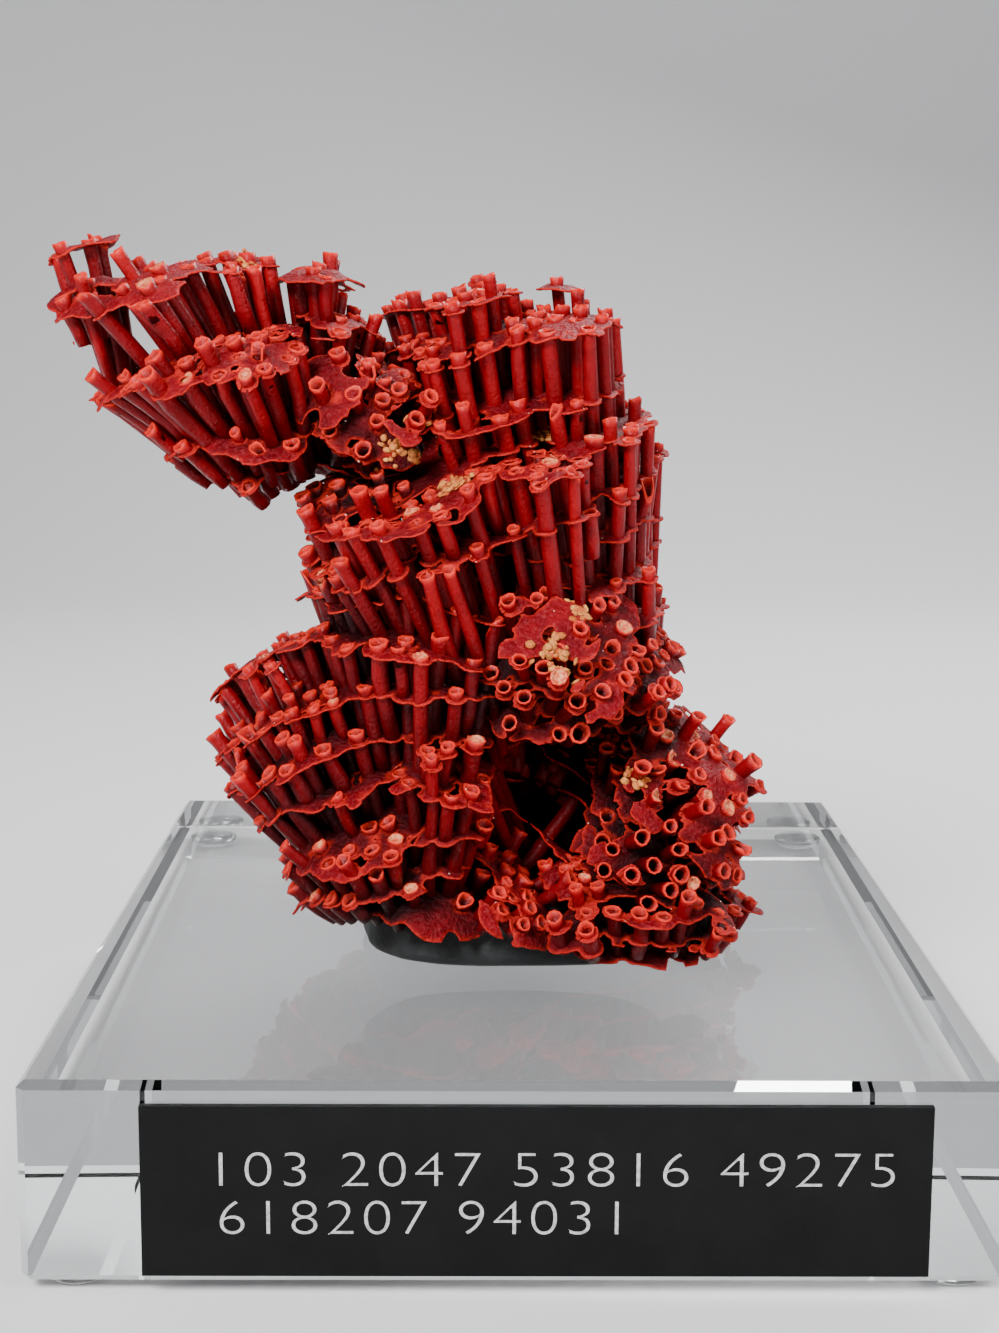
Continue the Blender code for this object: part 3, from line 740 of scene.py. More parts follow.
def pipe_tree():
    """A hollow pipe on each point, stretched from its foot to its mouth."""
    sockets = (("Pipe", "Object"), ("Rim Raggedness", "Float"), *GROWTH_SOCKETS)
    tree, given = new_tree("coral_pipes", sockets)
    held = {
        name: add_node(tree, "GeometryNodeInputNamedAttribute", {"Name": name}, data_type=kind)
        for kind, names in PIPE_ATTRIBUTES.items()
        for name in names
    }
    shape = add_node(tree, "GeometryNodeObjectInfo", {"Object": given["Pipe"], "As Instance": True})
    turned = add_node(tree, "FunctionNodeAlignRotationToVector", {"Vector": held["axis"]}, axis="Z")
    copies = add_node(
        tree,
        "GeometryNodeInstanceOnPoints",
        {"Points": given["Geometry"], "Instance": shape.outputs["Geometry"], "Rotation": turned},
    )
    real = add_node(tree, "GeometryNodeRealizeInstances", {"Geometry": copies})
    place = add_node(tree, "GeometryNodeInputPosition")
    radial = {0: place, 1: held["foot"]}
    radial = add_node(tree, "ShaderNodeVectorMath", radial, operation="SUBTRACT")

    # How far each point lies under the pipe's full height: a notch, a ragged rim and the bore.
    facing = {0: radial, 1: held["notch"]}
    facing = add_node(tree, "ShaderNodeVectorMath", facing, operation="DOT_PRODUCT")
    notch = {0: facing.outputs["Value"], 1: 0.0}
    notch = add_node(tree, "ShaderNodeMath", notch, operation="MAXIMUM")
    cloud = {"Vector": place, "Scale": 1 / RIM_GRAIN, "Detail": 0.0}
    grain = add_node(tree, "ShaderNodeTexNoise", cloud)
    grain = add_node(tree, "ShaderNodeMath", {0: grain, 1: 0.5}, operation="SUBTRACT")
    ragged = {0: grain, 1: given["Rim Raggedness"]}
    ragged = add_node(tree, "ShaderNodeMath", ragged, operation="MULTIPLY")
    ragged = add_node(tree, "ShaderNodeMath", {0: ragged, 1: held["lip"]}, operation="MULTIPLY")
    fall = {0: notch, 1: held["near_mouth"], 2: ragged}
    fall = add_node(tree, "ShaderNodeMath", fall, operation="MULTIPLY_ADD")
    shallow = {0: held["drop"], 1: PLUG_DEPTH}
    shallow = add_node(tree, "ShaderNodeMath", shallow, operation="MINIMUM")
    plugged = {0: held["plug"], 2: held["drop"], 3: shallow}
    plugged = add_node(tree, "ShaderNodeMix", plugged, data_type="FLOAT")
    drop = {0: held["bore"], 2: held["drop"], 3: plugged}
    drop = add_node(tree, "ShaderNodeMix", drop, data_type="FLOAT")
    fall = add_node(tree, "ShaderNodeMath", {0: fall, 1: drop}, operation="ADD")

    # The pipe's own length, width and slight bow.
    climb = {0: held["share"], 1: held["span"]}
    climb = add_node(tree, "ShaderNodeMath", climb, operation="MULTIPLY")
    climb = add_node(tree, "ShaderNodeMath", {0: climb, 1: fall}, operation="SUBTRACT")
    bow = add_node(tree, "ShaderNodeMath", {0: 1.0, 1: held["share"]}, operation="SUBTRACT")
    bow = add_node(tree, "ShaderNodeMath", {0: bow, 1: held["share"]}, operation="MULTIPLY")
    total = held["foot"]
    for way, amount in ((held["axis"], climb), (radial, held["girth"]), (held["bend"], bow)):
        part = add_node(tree, "ShaderNodeVectorMath", {0: way, "Scale": amount}, operation="SCALE")
        total = add_node(tree, "ShaderNodeVectorMath", {0: total, 1: part})
    moved = add_node(tree, "GeometryNodeSetPosition", {"Geometry": real, "Position": total})
    finish_growth(tree, moved, given)
    return tree


def platform_tree():
    """Gives a sheet its thickness along "up", and closes it."""
    tree, given = new_tree("coral_platforms", (("Thickness", "Float"), *GROWTH_SOCKETS))
    up, swell = (
        add_node(tree, "GeometryNodeInputNamedAttribute", {"Name": name}, data_type=kind)
        for name, kind in (("up", "FLOAT_VECTOR"), ("swell", "FLOAT"))
    )
    thick = {0: swell, 1: given["Thickness"]}
    thick = add_node(tree, "ShaderNodeMath", thick, operation="MULTIPLY")
    whole = add_node(tree, "ShaderNodeVectorMath", {0: up, "Scale": thick}, operation="SCALE")
    half = add_node(tree, "ShaderNodeVectorMath", {0: whole, "Scale": -0.5}, operation="SCALE")
    lowered = {"Geometry": given["Geometry"], "Offset": half}
    low = add_node(tree, "GeometryNodeSetPosition", lowered)
    raised = {"Mesh": low, "Offset": whole, "Individual": False}
    high = add_node(tree, "GeometryNodeExtrudeMesh", raised, mode="FACES")
    under = add_node(tree, "GeometryNodeFlipFaces", {"Mesh": low})
    both = add_node(tree, "GeometryNodeJoinGeometry", {"Geometry": high})
    tree.links.new(under.outputs[0], both.inputs["Geometry"])
    welded = {"Geometry": both, "Distance": 1e-6}
    closed = add_node(tree, "GeometryNodeMergeByDistance", welded)
    finish_growth(tree, closed, given)
    return tree


def crumb_tree():
    """A small lump on each point, sized by "stretch" and standing along "way"."""
    tree, given = new_tree("coral_crumbs", (("Material", "Material"),))
    way, stretched = (
        add_node(tree, "GeometryNodeInputNamedAttribute", {"Name": name}, data_type="FLOAT_VECTOR")
        for name in ("way", "stretch")
    )
    lump = add_node(tree, "GeometryNodeMeshIcoSphere", {"Radius": 0.5, "Subdivisions": 1})
    turned = add_node(tree, "FunctionNodeAlignRotationToVector", {"Vector": way}, axis="Z")
    copies = add_node(
        tree,
        "GeometryNodeInstanceOnPoints",
        {"Points": given["Geometry"], "Instance": lump, "Rotation": turned, "Scale": stretched},
    )
    real = add_node(tree, "GeometryNodeRealizeInstances", {"Geometry": copies})
    finish_tree(tree, real, given)
    return tree


# ---- finishes ---------------------------------------------------------------------------------

# What calcite is like in pipes and platforms alike: light goes a little way in, and comes out red.
CALCITE = {
    "Subsurface_Weight": 0.05,
    "Subsurface_Radius": (1.2 * MM, 0.3 * MM, 0.2 * MM),
    "Subsurface_Scale": 1.0,
    "Specular_Tint": shade("#FFADB3"),
}
# the painted glow at thin calcite is kept close to its edge by this power
PAINTED_GLOW_POWER = 3.0  # keeps the brightness of thin calcite close to its edge


def new_material(name, **sockets):
    """A material with its Principled shader's plain values set: the material, tree and shader."""
    made = bpy.data.materials.new(name)
    made.use_nodes = True
    shader = made.node_tree.nodes["Principled BSDF"]
    for key, value in sockets.items():
        shader.inputs[key.replace("_", " ")].default_value = value
    return made, made.node_tree, shader


def patches(tree, size, low, high, detail=3.0):
    """A share from 0 to 1 in patches of that many millimetres, between two noise values."""
    place = add_node(tree, "ShaderNodeTexCoord").outputs["Object"]
    cloud = {"Vector": place, "Scale": 1 / (size * MM), "Detail": detail}
    cloud = add_node(tree, "ShaderNodeTexNoise", cloud)
    return add_node(tree, "ShaderNodeMapRange", {"Value": cloud, "From Min": low, "From Max": high})


def layered(tree, colour, *coats):
    """The colour with coats laid over it one by one, each a colour, where it lies, and how much."""
    for over, where, *share in coats:
        if share:
            where = add_node(tree, "ShaderNodeMath", {0: where, 1: share[0]}, operation="MULTIPLY")
        under, over = (shade(end) if isinstance(end, str) else end for end in (colour, over))
        laid = add_node(tree, "ShaderNodeMix", {0: where, 6: under, 7: over}, data_type="RGBA")
        colour = laid.outputs[2]
    return colour


def dress(tree, shader, colour, relief, depth):
    """Gives the shader its colour, and a relief that is that many millimetres deep."""
    bump = {"Height": relief, "Distance": depth * MM, "Strength": 1.0}
    bump = add_node(tree, "ShaderNodeBump", bump)
    tree.links.new(colour, shader.inputs["Base Color"])
    tree.links.new(bump.outputs[0], shader.inputs["Normal"])


def pipe_material():
    """Red calcite as the polyps laid it down: satin, with painted shade inside the colony and in
    its bores, and a painted glow, paler and more orange, at the thin mouths, where light comes
    through the wall."""
    made, tree, shader = new_material("red_calcite_pipes", **CALCITE, Specular_IOR_Level=0.3)
    tone, depth, glow, dark_bore, plugged = (
        add_node(tree, "ShaderNodeAttribute", attribute_name=name).outputs["Fac"]
        for name in ("tone", "depth", "glow", "dark_bore", "plugged")
    )
    thin = add_node(tree, "ShaderNodeMath", {0: glow, 1: PAINTED_GLOW_POWER}, operation="POWER")
    lime = layered(tree, "#B8442E", ("#D08A60", patches(tree, 0.5, 0.4, 0.6)))
    red = layered(
        tree,
        "#72000A",
        ("#98010E", tone),
        ("#5C0206", patches(tree, 2.6, 0.4, 0.65), 0.5),
        ("#A02A26", patches(tree, 0.45, 0.62, 0.72), 0.3),
        # painted shade where the colony is crowded and roofed over
        ("#100102", depth),
        # painted glow at the thin mouths, for the light that comes through the wall
        ("#E03020", thin, 0.75),
        # painted shade deep in an open bore
        ("#180204", dark_bore),
        (lime, plugged),
    )
    dress(tree, shader, red, patches(tree, 0.5, 0.3, 0.7, 4.0), 0.07)
    worn = {"Value": patches(tree, 1.2, 0.35, 0.65), "To Min": 0.28, "To Max": 0.5}
    worn = add_node(tree, "ShaderNodeMapRange", worn)
    tree.links.new(worn.outputs[0], shader.inputs["Roughness"])
    return made


def platform_material():
    """The platforms' calcite: rougher and pinker with dust on the flats, with painted shade
    inside the colony and a painted glow at thin edges.
    """
    made, tree, shader = new_material(
        "red_calcite_platforms", **CALCITE, Roughness=0.55, Specular_IOR_Level=0.2
    )
    depth, edge = (
        add_node(tree, "ShaderNodeAttribute", attribute_name=name).outputs["Fac"]
        for name in ("depth", "edge")
    )
    thin = add_node(tree, "ShaderNodeMath", {0: edge, 1: PAINTED_GLOW_POWER}, operation="POWER")
    red = layered(
        tree,
        "#60020C",
        ("#7E0612", patches(tree, 3.2, 0.35, 0.65)),
        ("#96343A", patches(tree, 0.5, 0.52, 0.7, 4.0), 0.6),
        # painted shade where the colony is crowded and roofed over
        ("#0C0102", depth),
        # painted glow at thin edges, for the light that comes through them
        ("#D0281E", thin, 0.6),
    )
    dress(tree, shader, red, patches(tree, 0.7, 0.3, 0.7, 5.0), 0.3)
    return made


def heart_material():
    """Old calcite packed close, painted near black as the shade where hardly any light comes."""
    made, tree, shader = new_material("packed_calcite", Roughness=0.9, Specular_IOR_Level=0.0)
    dark = layered(tree, "#140000", ("#2E0102", patches(tree, 2.0, 0.35, 0.65)))
    dress(tree, shader, dark, patches(tree, 1.6, 0.3, 0.7), 0.5)
    return made


def crust_material():
    """Dried sponge and lime: chalky, ochre to cream."""
    made, tree, shader = new_material("dried_crust", Roughness=0.85, Specular_IOR_Level=0.2)
    tone = add_node(tree, "ShaderNodeAttribute", attribute_name="tone").outputs["Fac"]
    rusty = ("#C4562E", patches(tree, 0.8, 0.4, 0.6), 0.5)
    chalk = layered(tree, "#A85420", ("#DC9A54", tone), rusty)
    dress(tree, shader, chalk, patches(tree, 0.4, 0.3, 0.7, 4.0), 0.15)
    return made


def grit_material():
    """Coral sand caught on the platforms: pale, dry grains."""
    made, tree, shader = new_material("coral_sand", Roughness=0.8, Specular_IOR_Level=0.2)
    tone = add_node(tree, "ShaderNodeAttribute", attribute_name="tone").outputs["Fac"]
    grain = layered(tree, "#C98A78", ("#F0E4D2", tone))
    dress(tree, shader, grain, patches(tree, 0.15, 0.3, 0.7), 0.03)
    return made


def acrylic_material():
    """Cast acrylic, diamond-polished: clear, with a faint green in the thickness."""
    made, tree, _ = new_material(
        "cast_acrylic", Base_Color=shade("#FFFFFF"), Roughness=0.0, IOR=1.49,
        Transmission_Weight=1.0, Specular_IOR_Level=0.5,
    )  # fmt: skip
    inside = {"Color": shade("#DCEBE8"), "Density": 2.0}
    inside = add_node(tree, "ShaderNodeVolumeAbsorption", inside)
    tree.links.new(inside.outputs[0], tree.nodes["Material Output"].inputs["Volume"])
    return made


def bumper_material():
    """Clear polyurethane bumpers, moulded: softer gloss than the acrylic."""
    made, tree, shader = new_material(
        "clear_polyurethane", Base_Color=shade("#EEF2F1"), Roughness=0.1, IOR=1.5,
        Transmission_Weight=1.0,
    )  # fmt: skip
    waves = {"Height": patches(tree, 1.5, 0.3, 0.7), "Distance": 0.02 * MM, "Strength": 1.0}
    waves = add_node(tree, "ShaderNodeBump", waves)
    tree.links.new(waves.outputs[0], shader.inputs["Normal"])
    return made


def label_material():
    """Laminate engraving stock with a satin black face."""
    made, tree, shader = new_material("black_laminate", Specular_IOR_Level=0.12)
    black = layered(tree, "#060607", ("#0A0A0B", patches(tree, 6.0, 0.35, 0.65)))
    dress(tree, shader, black, patches(tree, 0.35, 0.3, 0.7), 0.01)
    worn = {"Value": patches(tree, 2.0, 0.3, 0.7), "To Min": 0.33, "To Max": 0.43}
    worn = add_node(tree, "ShaderNodeMapRange", worn)
    tree.links.new(worn.outputs[0], shader.inputs["Roughness"])
    return made


def digit_material():
    """The laminate's grey core, where the cutter went through the black."""
    made, tree, shader = new_material("grey_laminate_core", Roughness=0.55)
    grey = layered(tree, "#8D8D8F", ("#B9B9BA", patches(tree, 0.6, 0.35, 0.65)))
    dress(tree, shader, grey, patches(tree, 0.3, 0.3, 0.7), 0.02)
    return made


def wax_material():
    """Museum wax, kneaded and pressed: dark, dull, with a soft sheen on its shoulders."""
    made, tree, shader = new_material(
        "museum_wax", Roughness=0.6, Specular_IOR_Level=0.45, Coat_Weight=0.1, Coat_Roughness=0.45
    )
    wax = layered(
        tree,
        "#141617",
        ("#1D2021", patches(tree, 4.0, 0.35, 0.65)),
        ("#34383A", patches(tree, 0.6, 0.6, 0.75), 0.4),
    )
    dress(tree, shader, wax, patches(tree, 1.6, 0.3, 0.7, 4.0), 0.12)
    return made


# ---- settings ---------------------------------------------------------------------------------


def length(name, description, default):
    return bpy.props.FloatProperty(
        name=name, description=description, default=default, min=0.0, unit="LENGTH", precision=5
    )


class PipeSettings(bpy.types.PropertyGroup):
    diameter: length("Diameter", "Outside diameter of a pipe", 2.1 * MM)
    spacing: length("Spacing", "Between the middles of neighbouring pipes", 3.2 * MM)
    ragged: length("Rim raggedness", "How uneven a mouth's rim is", 0.9 * MM)
    sides: bpy.props.IntProperty(name="Sides", description="Faces round a pipe", default=9, min=5)
    plugged: bpy.props.FloatProperty(
        name="Plugged mouths", description="Share of mouths filled with lime", default=0.08,
        min=0, max=1,
    )  # fmt: skip


class PlatformSettings(bpy.types.PropertyGroup):
    thickness: length("Thickness", "Of a platform away from its edges", 0.45 * MM)
    pitch: length("Mesh pitch", "Between the points of a platform's mesh", 0.62 * MM)


class GrowthSettings(bpy.types.PropertyGroup):
    wander: length("Wander", "How far growth strays from straight rays", 1.3 * MM)
    swirl: length("Swirl size", "Over what length it strays", 17.0 * MM)
    surface: length("Unevenness", "Of the pipes' and platforms' surface", 0.32 * MM)


class CrumbSettings(bpy.types.PropertyGroup):
    lump: length("Crust lump", "Across one lump of crust", 1.2 * MM)
    grain: length("Grain", "Across one grain of grit", 0.26 * MM)
    grains: bpy.props.IntProperty(name="Grains", description="Grains of grit", default=420, min=0)


class LabelSettings(bpy.types.PropertyGroup):
    upper: bpy.props.StringProperty(
        name="Upper row", description="Digits", default="103 2047 53816 49275"
    )
    lower: bpy.props.StringProperty(
        name="Lower row", description="Digits", default="618207 94031"
    )
    height: length("Digit height", "Of the digits in both rows", 4.3 * MM)
    proud: length("Relief", "How far the digits stand from the plate", 0.12 * MM)


class StageSettings(bpy.types.PropertyGroup):
    floor: bpy.props.FloatVectorProperty(
        name="Floor", description="Colour of the floor and backdrop", subtype="COLOR", size=3,
        default=linear("#DADADC"), min=0, max=1,
    )  # fmt: skip
    key: bpy.props.FloatProperty(
        name="Key light", description="Power in watts", default=11.5, min=0
    )


# ---- pieces -----------------------------------------------------------------------------------

# share of the pipe's length, drop below the mouth in mm, radius share, and whether in the bore
PIPE_RINGS = (
    (0.0, 0.0, 0.92, 0), (0.35, 0.0, 0.97, 0), (0.7, 0.0, 0.94, 0), (1.0, 1.2, 0.97, 0),
    (1.0, 0.0, 1.08, 0), (1.0, 0.03, 0.84, 1), (1.0, 3.0, 0.72, 1),
)  # fmt: skip
# under the rim: where the lip ends, how far the painted glow reaches, and where the painted shade
# in the bore starts
LIP, PAINTED_GLOW_REACH, BORE_SHADE_BELOW = 0.4, 1.3, 1.0  # how far under the rim each reaches or starts
GIRTH_SPREAD, GIRTH_LIMITS = 0.09, (0.8, 1.18)
TORN_SHARE, TEAR, WORN = 0.15, (1.5, 4.5), (0.0, 0.5)  # depth of the notch in torn and other rims
DEEPEST_TEAR = 0.2  # share of a pipe's length
BEND, BEND_SPAN, BEND_LIMITS = 1.2, 15.0, (0.2, 1.4)  # bow of a pipe of that length
PIPE_WORKINGS = ("foot", "axis", "notch", "bend", "span", "girth", "plug", "share", "drop", "bore",
                 "near_mouth", "lip", "deep")  # fmt: skip
PIPE_SEED, SHAPE_SEED, CRUMB_SEED = 20, 40, 60
GROWN = {}


def grown_pipes():
    """Each lobe's pipes, worked out once."""
    if not GROWN:
        spacing = bpy.context.scene.coral_pipes.spacing / MM
        for index, (name, lobe) in enumerate(LOBES.items()):
            random = np.random.default_rng(PIPE_SEED + index)
            GROWN[name] = grow_pipes(name, lobe, spacing, random)
    return GROWN


def pipe_shape(sides):
    """A hollow pipe of radius 1 with all its rings in one plane, and what stretches it."""
    rings = np.array(PIPE_RINGS)
    points, faces = lofted([circle(sides) * across for across in rings[:, 2]])
    share, drop, _, bore = np.repeat(rings, sides, axis=0).T
    at_mouth = share == 1
    return mesh_object(
        "pipe_shape",
        points,
        faces,
        share=share,
        drop=drop * MM,
        bore=bore,
        near_mouth=at_mouth,
        lip=at_mouth * (drop < LIP),
        # a painted glow just under the rim, and painted shade deep in the bore
        glow=at_mouth * np.clip(1 - drop / PAINTED_GLOW_REACH, 0, 1) ** 2,
        deep=bore * (drop > BORE_SHADE_BELOW),
    )


def pipe_points(name, pipes, settings, random):
    """The lobe's pipes as points with what shapes each one."""
    count = len(pipes["way"])
    span = pipes["end"] - pipes["start"]
    girth = settings.diameter / 2 * random.normal(1.0, GIRTH_SPREAD, count).clip(*GIRTH_LIMITS)
    loose = random.normal(size=(count, 3))
    loose /= np.linalg.norm(loose, axis=1)[:, None]
    torn = random.random(count) < TORN_SHARE
    notch = np.where(torn, random.uniform(*TEAR, count), random.uniform(*WORN, count))
    notch = np.minimum(notch, DEEPEST_TEAR * span)
    tone = random.random(count)
    plug = random.random(count) < settings.plugged
    bend = random.normal(0, BEND, (count, 3)) * np.clip(span / BEND_SPAN, *BEND_LIMITS)[:, None]
    foot = placed(LOBES[name].focus + pipes["way"] * pipes["start"][:, None])
    return mesh_object(
        f"pipes_{name}",
        foot,
        [],
        foot=foot,
        axis=pipes["way"],
        notch=loose * notch[:, None] * MM,
        bend=bend * MM,
        span=span * MM,
        girth=girth,
        tone=tone,
        plug=plug,
    )


def growth_values(settings, material):
    return {
        "Growth Wander": settings.wander,
        "Growth Swirl": settings.swirl,
        "Surface Wander": settings.surface,
        "Material": material,
    }


def store_pipe_colours(mesh):
    """Turns what the tree needed into what the material reads, and drops the rest."""
    bore, deep, plug = (np.empty(len(mesh.vertices), np.float32) for _ in range(3))
    for key, values in (("bore", bore), ("deep", deep), ("plug", plug)):
        mesh.attributes[key].data.foreach_get("value", values)
    drop_attributes(mesh, PIPE_WORKINGS)
    store_attribute(mesh, "plugged", bore * plug)
    # painted shade in an open bore; a plugged one shows its lime
    store_attribute(mesh, "dark_bore", deep * (1 - plug))


class CORAL_OT_pipes(bpy.types.Operator):
    """Grow the colony's pipes, one piece for each lobe"""

    bl_idname = "coral.pipes"
    bl_label = "Pipes"

    def execute(self, context):
        settings = context.scene.coral_pipes
        tree = pipe_tree()
        shape = pipe_shape(settings.sides)
        values = growth_values(context.scene.coral_growth, pipe_material())
        values |= {"Pipe": shape, "Rim Raggedness": settings.ragged}
        for index, (name, pipes) in enumerate(grown_pipes().items()):
            obj = pipe_points(name, pipes, settings, np.random.default_rng(SHAPE_SEED + index))
            realise(obj, tree, values)
            store_pipe_colours(obj.data)
            finish_piece(obj, "red_coral", LOBES[name].replaces)
        bpy.data.objects.remove(shape)
        return {"FINISHED"}


class CORAL_OT_platforms(bpy.types.Operator):
    """Grow the thin platforms that tie the pipes together, one piece for each lobe"""

    bl_idname = "coral.platforms"
    bl_label = "Platforms"

    def execute(self, context):
        settings = context.scene.coral_platforms
        radius = context.scene.coral_pipes.diameter / 2 / MM
        tree = platform_tree()
        values = growth_values(context.scene.coral_growth, platform_material())
        values["Thickness"] = settings.thickness
        for name, pipes in grown_pipes().items():
            lobe = LOBES[name]
            sheets = [
                platform_sheet(name, lobe, level, pipes, radius, settings.pitch / MM)
                for level in lobe.levels
            ]
            sheets = [sheet for sheet in sheets if sheet]
            points, ways, thick, edge = (
                np.concatenate([sheet[part] for sheet in sheets]) for part in range(4)
            )
            starts = np.cumsum([0] + [len(sheet[0]) for sheet in sheets])
            faces = np.concatenate([sheet[4] + start for sheet, start in zip(sheets, starts)])
            title = f"platforms_{name}"
            # edge is how near the platform's edge each point is, for its painted glow
            obj = mesh_object(title, placed(points), faces, swell=thick, edge=edge, up=ways)
            realise(obj, tree, values)
            drop_attributes(obj.data, ("up", "swell"))
            finish_piece(obj, "red_coral", lobe.replaces)
        return {"FINISHED"}


# The painted shade: the colony's colour darkens where it is crowded or roofed over, standing in for
# the light that cannot reach in.
SHADE_CELL = 1.0 * MM
SHADE_BLUR = 3  # cells each way, twice
SHADE_ROOM = 12  # empty cells round the colony, so that nothing blurs across the grid's ends
SHADE_RAMP = (0.16, 0.4)
SHELTER = 6.0 * MM  # how far overhead crowding counts too


def colony_pieces():
    """The names of all the pieces of pipes and platforms."""
    return [f"{kind}_{name}" for kind in ("pipes", "platforms") for name in LOBES]


def blurred(grid, cells):
    """The grid with each cell the mean of the cells that many cells round it, twice over."""
    steps = range(-cells, cells + 1)
    for _ in range(2):
        for axis in range(3):
            grid = sum(np.roll(grid, step, axis) for step in steps) / len(steps)
    return grid


class CORAL_OT_painted_shade(bpy.types.Operator):
    """Store how crowded and sheltered each part of the colony is, as the painted shade in its
    colour
    """

    bl_idname = "coral.stains"
    bl_label = "Stains"

    def execute(self, context):
        meshes = [bpy.data.objects[name].data for name in colony_pieces()]
        places = [vertex_places(mesh) for mesh in meshes]
        every = np.concatenate(places)
        low = every.min(axis=0) - SHADE_ROOM * SHADE_CELL
        size = ((every.max(axis=0) - low) / SHADE_CELL).astype(int) + SHADE_ROOM + 2
        grid = np.zeros(size)
        for spots in places:
            grid[tuple(((spots - low) / SHADE_CELL).astype(int).T)] = 1
        grid = blurred(grid, SHADE_BLUR)
        for mesh, spots in zip(meshes, places):
            total = 0
            for rise in (0.0, SHELTER):
                cells = ((spots + (0, 0, rise) - low) / SHADE_CELL).astype(int)
                total = total + grid[tuple(cells.T)] / 2
            share = (total - SHADE_RAMP[0]) / (SHADE_RAMP[1] - SHADE_RAMP[0])
            store_attribute(mesh, "depth", np.clip(share, 0, 1))
        return {"FINISHED"}


# x and z of each crust, the size of its patch, and how many lumps it has
CRUSTS = (
    (-15.2, 97.6, 3.2, 70), (-8.6, 93.4, 2.4, 46), (3.6, 99.5, 3.0, 56), (9.0, 77.4, 1.8, 26),
    (5.4, 71.3, 2.8, 54), (16.8, 52.0, 2.2, 30), (-1.5, 108.6, 2.0, 20), (-38.0, 125.0, 1.6, 14),
)  # fmt: skip
CRUST_CHOICES = 80  # nearest faces, the foremost of which is a crust's middle
CRUST_UPWARD, GRIT_UPWARD = 0.1, 0.35  # how level a face has to be to hold each
CRUMB_SIZES, CRUMB_FLAT = (0.45, 1.4), (1, 1, 0.4)
CRUMB_TILT, CRUMB_LIFT, CRUMB_SHIFT = 0.15, 0.1, 0.12


def surface_of(names):
    """The middle, in growth millimetres, and the normal of every face of the pieces."""
    found = []
    for part in ("center", "normal"):
        each = []
        for name in names:
            polygons = bpy.data.objects[name].data.polygons
            flat = np.empty(len(polygons) * 3)
            polygons.foreach_get(part, flat)
            each.append(flat.reshape(-1, 3))
        found.append(np.concatenate(each))
    return (found[0] - BLOCK_FOOT) / MM, found[1]


def crust_faces(middles, normals, random):
    """The faces that the crusts' lumps sit on, round the foremost face at each crust's place."""
    picked = []
    for x, z, patch, count in CRUSTS:
        aside = np.hypot(middles[:, 0] - x, middles[:, 2] - z)
        near = np.argpartition(aside, CRUST_CHOICES)[:CRUST_CHOICES]
        front = middles[near[middles[near, 1].argmin()]]
        away = np.linalg.norm(middles - front, axis=1)
        weight = np.exp(-((away / patch) ** 2) * 2) * (away < 2 * patch)
        weight *= normals[:, 2] > CRUST_UPWARD
        picked.append(random.choice(len(middles), count, p=weight / weight.sum()))
    return np.concatenate(picked)


class CORAL_OT_crumbs(bpy.types.Operator):
    """Lay the dried crusts and the grit on the colony"""

    bl_idname = "coral.crumbs"
    bl_label = "Crusts and grit"

    def execute(self, context):
        settings = context.scene.coral_crumbs
        random = np.random.default_rng(CRUMB_SEED)
        tree = crumb_tree()
        middles, normals = surface_of(colony_pieces())
        crusted = crust_faces(middles, normals, random)
        level = np.flatnonzero(normals[:, 2] > GRIT_UPWARD)
        gritty = random.choice(level, settings.grains, False)
        for name, chosen, size, material in (
            ("crusts", crusted, settings.lump, crust_material()),
            ("grit", gritty, settings.grain, grit_material()),
        ):
            out = normals[chosen]
            spans = size * random.uniform(*CRUMB_SIZES, out.shape) * CRUMB_FLAT
            ways = out + random.normal(0, CRUMB_TILT, out.shape)
            shift = out * CRUMB_LIFT + random.normal(0, CRUMB_SHIFT, out.shape)
            spots = placed(middles[chosen]) + shift * size
            tone = random.random(len(chosen))
            obj = mesh_object(name, spots, [], tone=tone, stretch=spans, way=ways)
            realise(obj, tree, {"Material": material})
            finish_piece(obj, "red_coral")
        return {"FINISHED"}


# the colony's old middle, packed too close to see into, and painted dark as its shade
HEART = (
    Lump(-2, 0, 46, 16, 10, 15),
    Lump(1, -8, 73, 10, 9, 16),
    Lump(2, -8, 97, 7.5, 8, 13),
    Lump(15, -3, 47, 6, 8, 7),
    Lump(-22, -10, 98.5, 9, 5, 3.5, 20),
)
HEART_LUMPS = (0.12, 3)  # how far its surface goes in and out, and how often


class CORAL_OT_heart(bpy.types.Operator):
    """Fill the colony's middle with a dark body that stands in for the shade there"""

    bl_idname = "coral.heart"
    bl_label = "Heart"

    def execute(self, context):
        bm = bmesh.new()
        for lump in HEART:
            middle = Vector((lump.x, lump.y, lump.z))
            lean = Matrix.Rotation(-radians(lump.lean), 3, "Y")
            size = Matrix.Diagonal((lump.rx, lump.ry, lump.rz))
            for vert in bmesh.ops.create_icosphere(bm, subdivisions=3, radius=1.0)["verts"]:
                grown = 1 + HEART_LUMPS[0] * noise.noise(vert.co * HEART_LUMPS[1] + middle)
                vert.co = placed(lean @ size @ vert.co * grown + middle)
        mesh = bpy.data.meshes.new("heart")
        bm.to_mesh(mesh)
        bm.free()
        mesh.shade_smooth()
        mesh.materials.append(heart_material())
        finish_piece(linked("heart", mesh), "red_coral")
        return {"FINISHED"}


WAX_SIDES = 112
# share of the pad's width, and of its height
WAX_RINGS = ((0.3, 0.0), (0.97, 0.0), (1.0, 0.06), (1.012, 0.2), (1.0, 0.4), (0.985, 0.6),
             (0.96, 0.78), (0.915, 0.91), (0.84, 0.98), (0.7, 1.0), (0.35, 0.99))  # fmt: skip
WAX_SQUARE = 0.75  # less makes the pad's outline squarer
WAX_LUMPS, WAX_PRINTS = (0.03, 2.2), (0.008, 9.0)  # how far each goes in and out, and how often


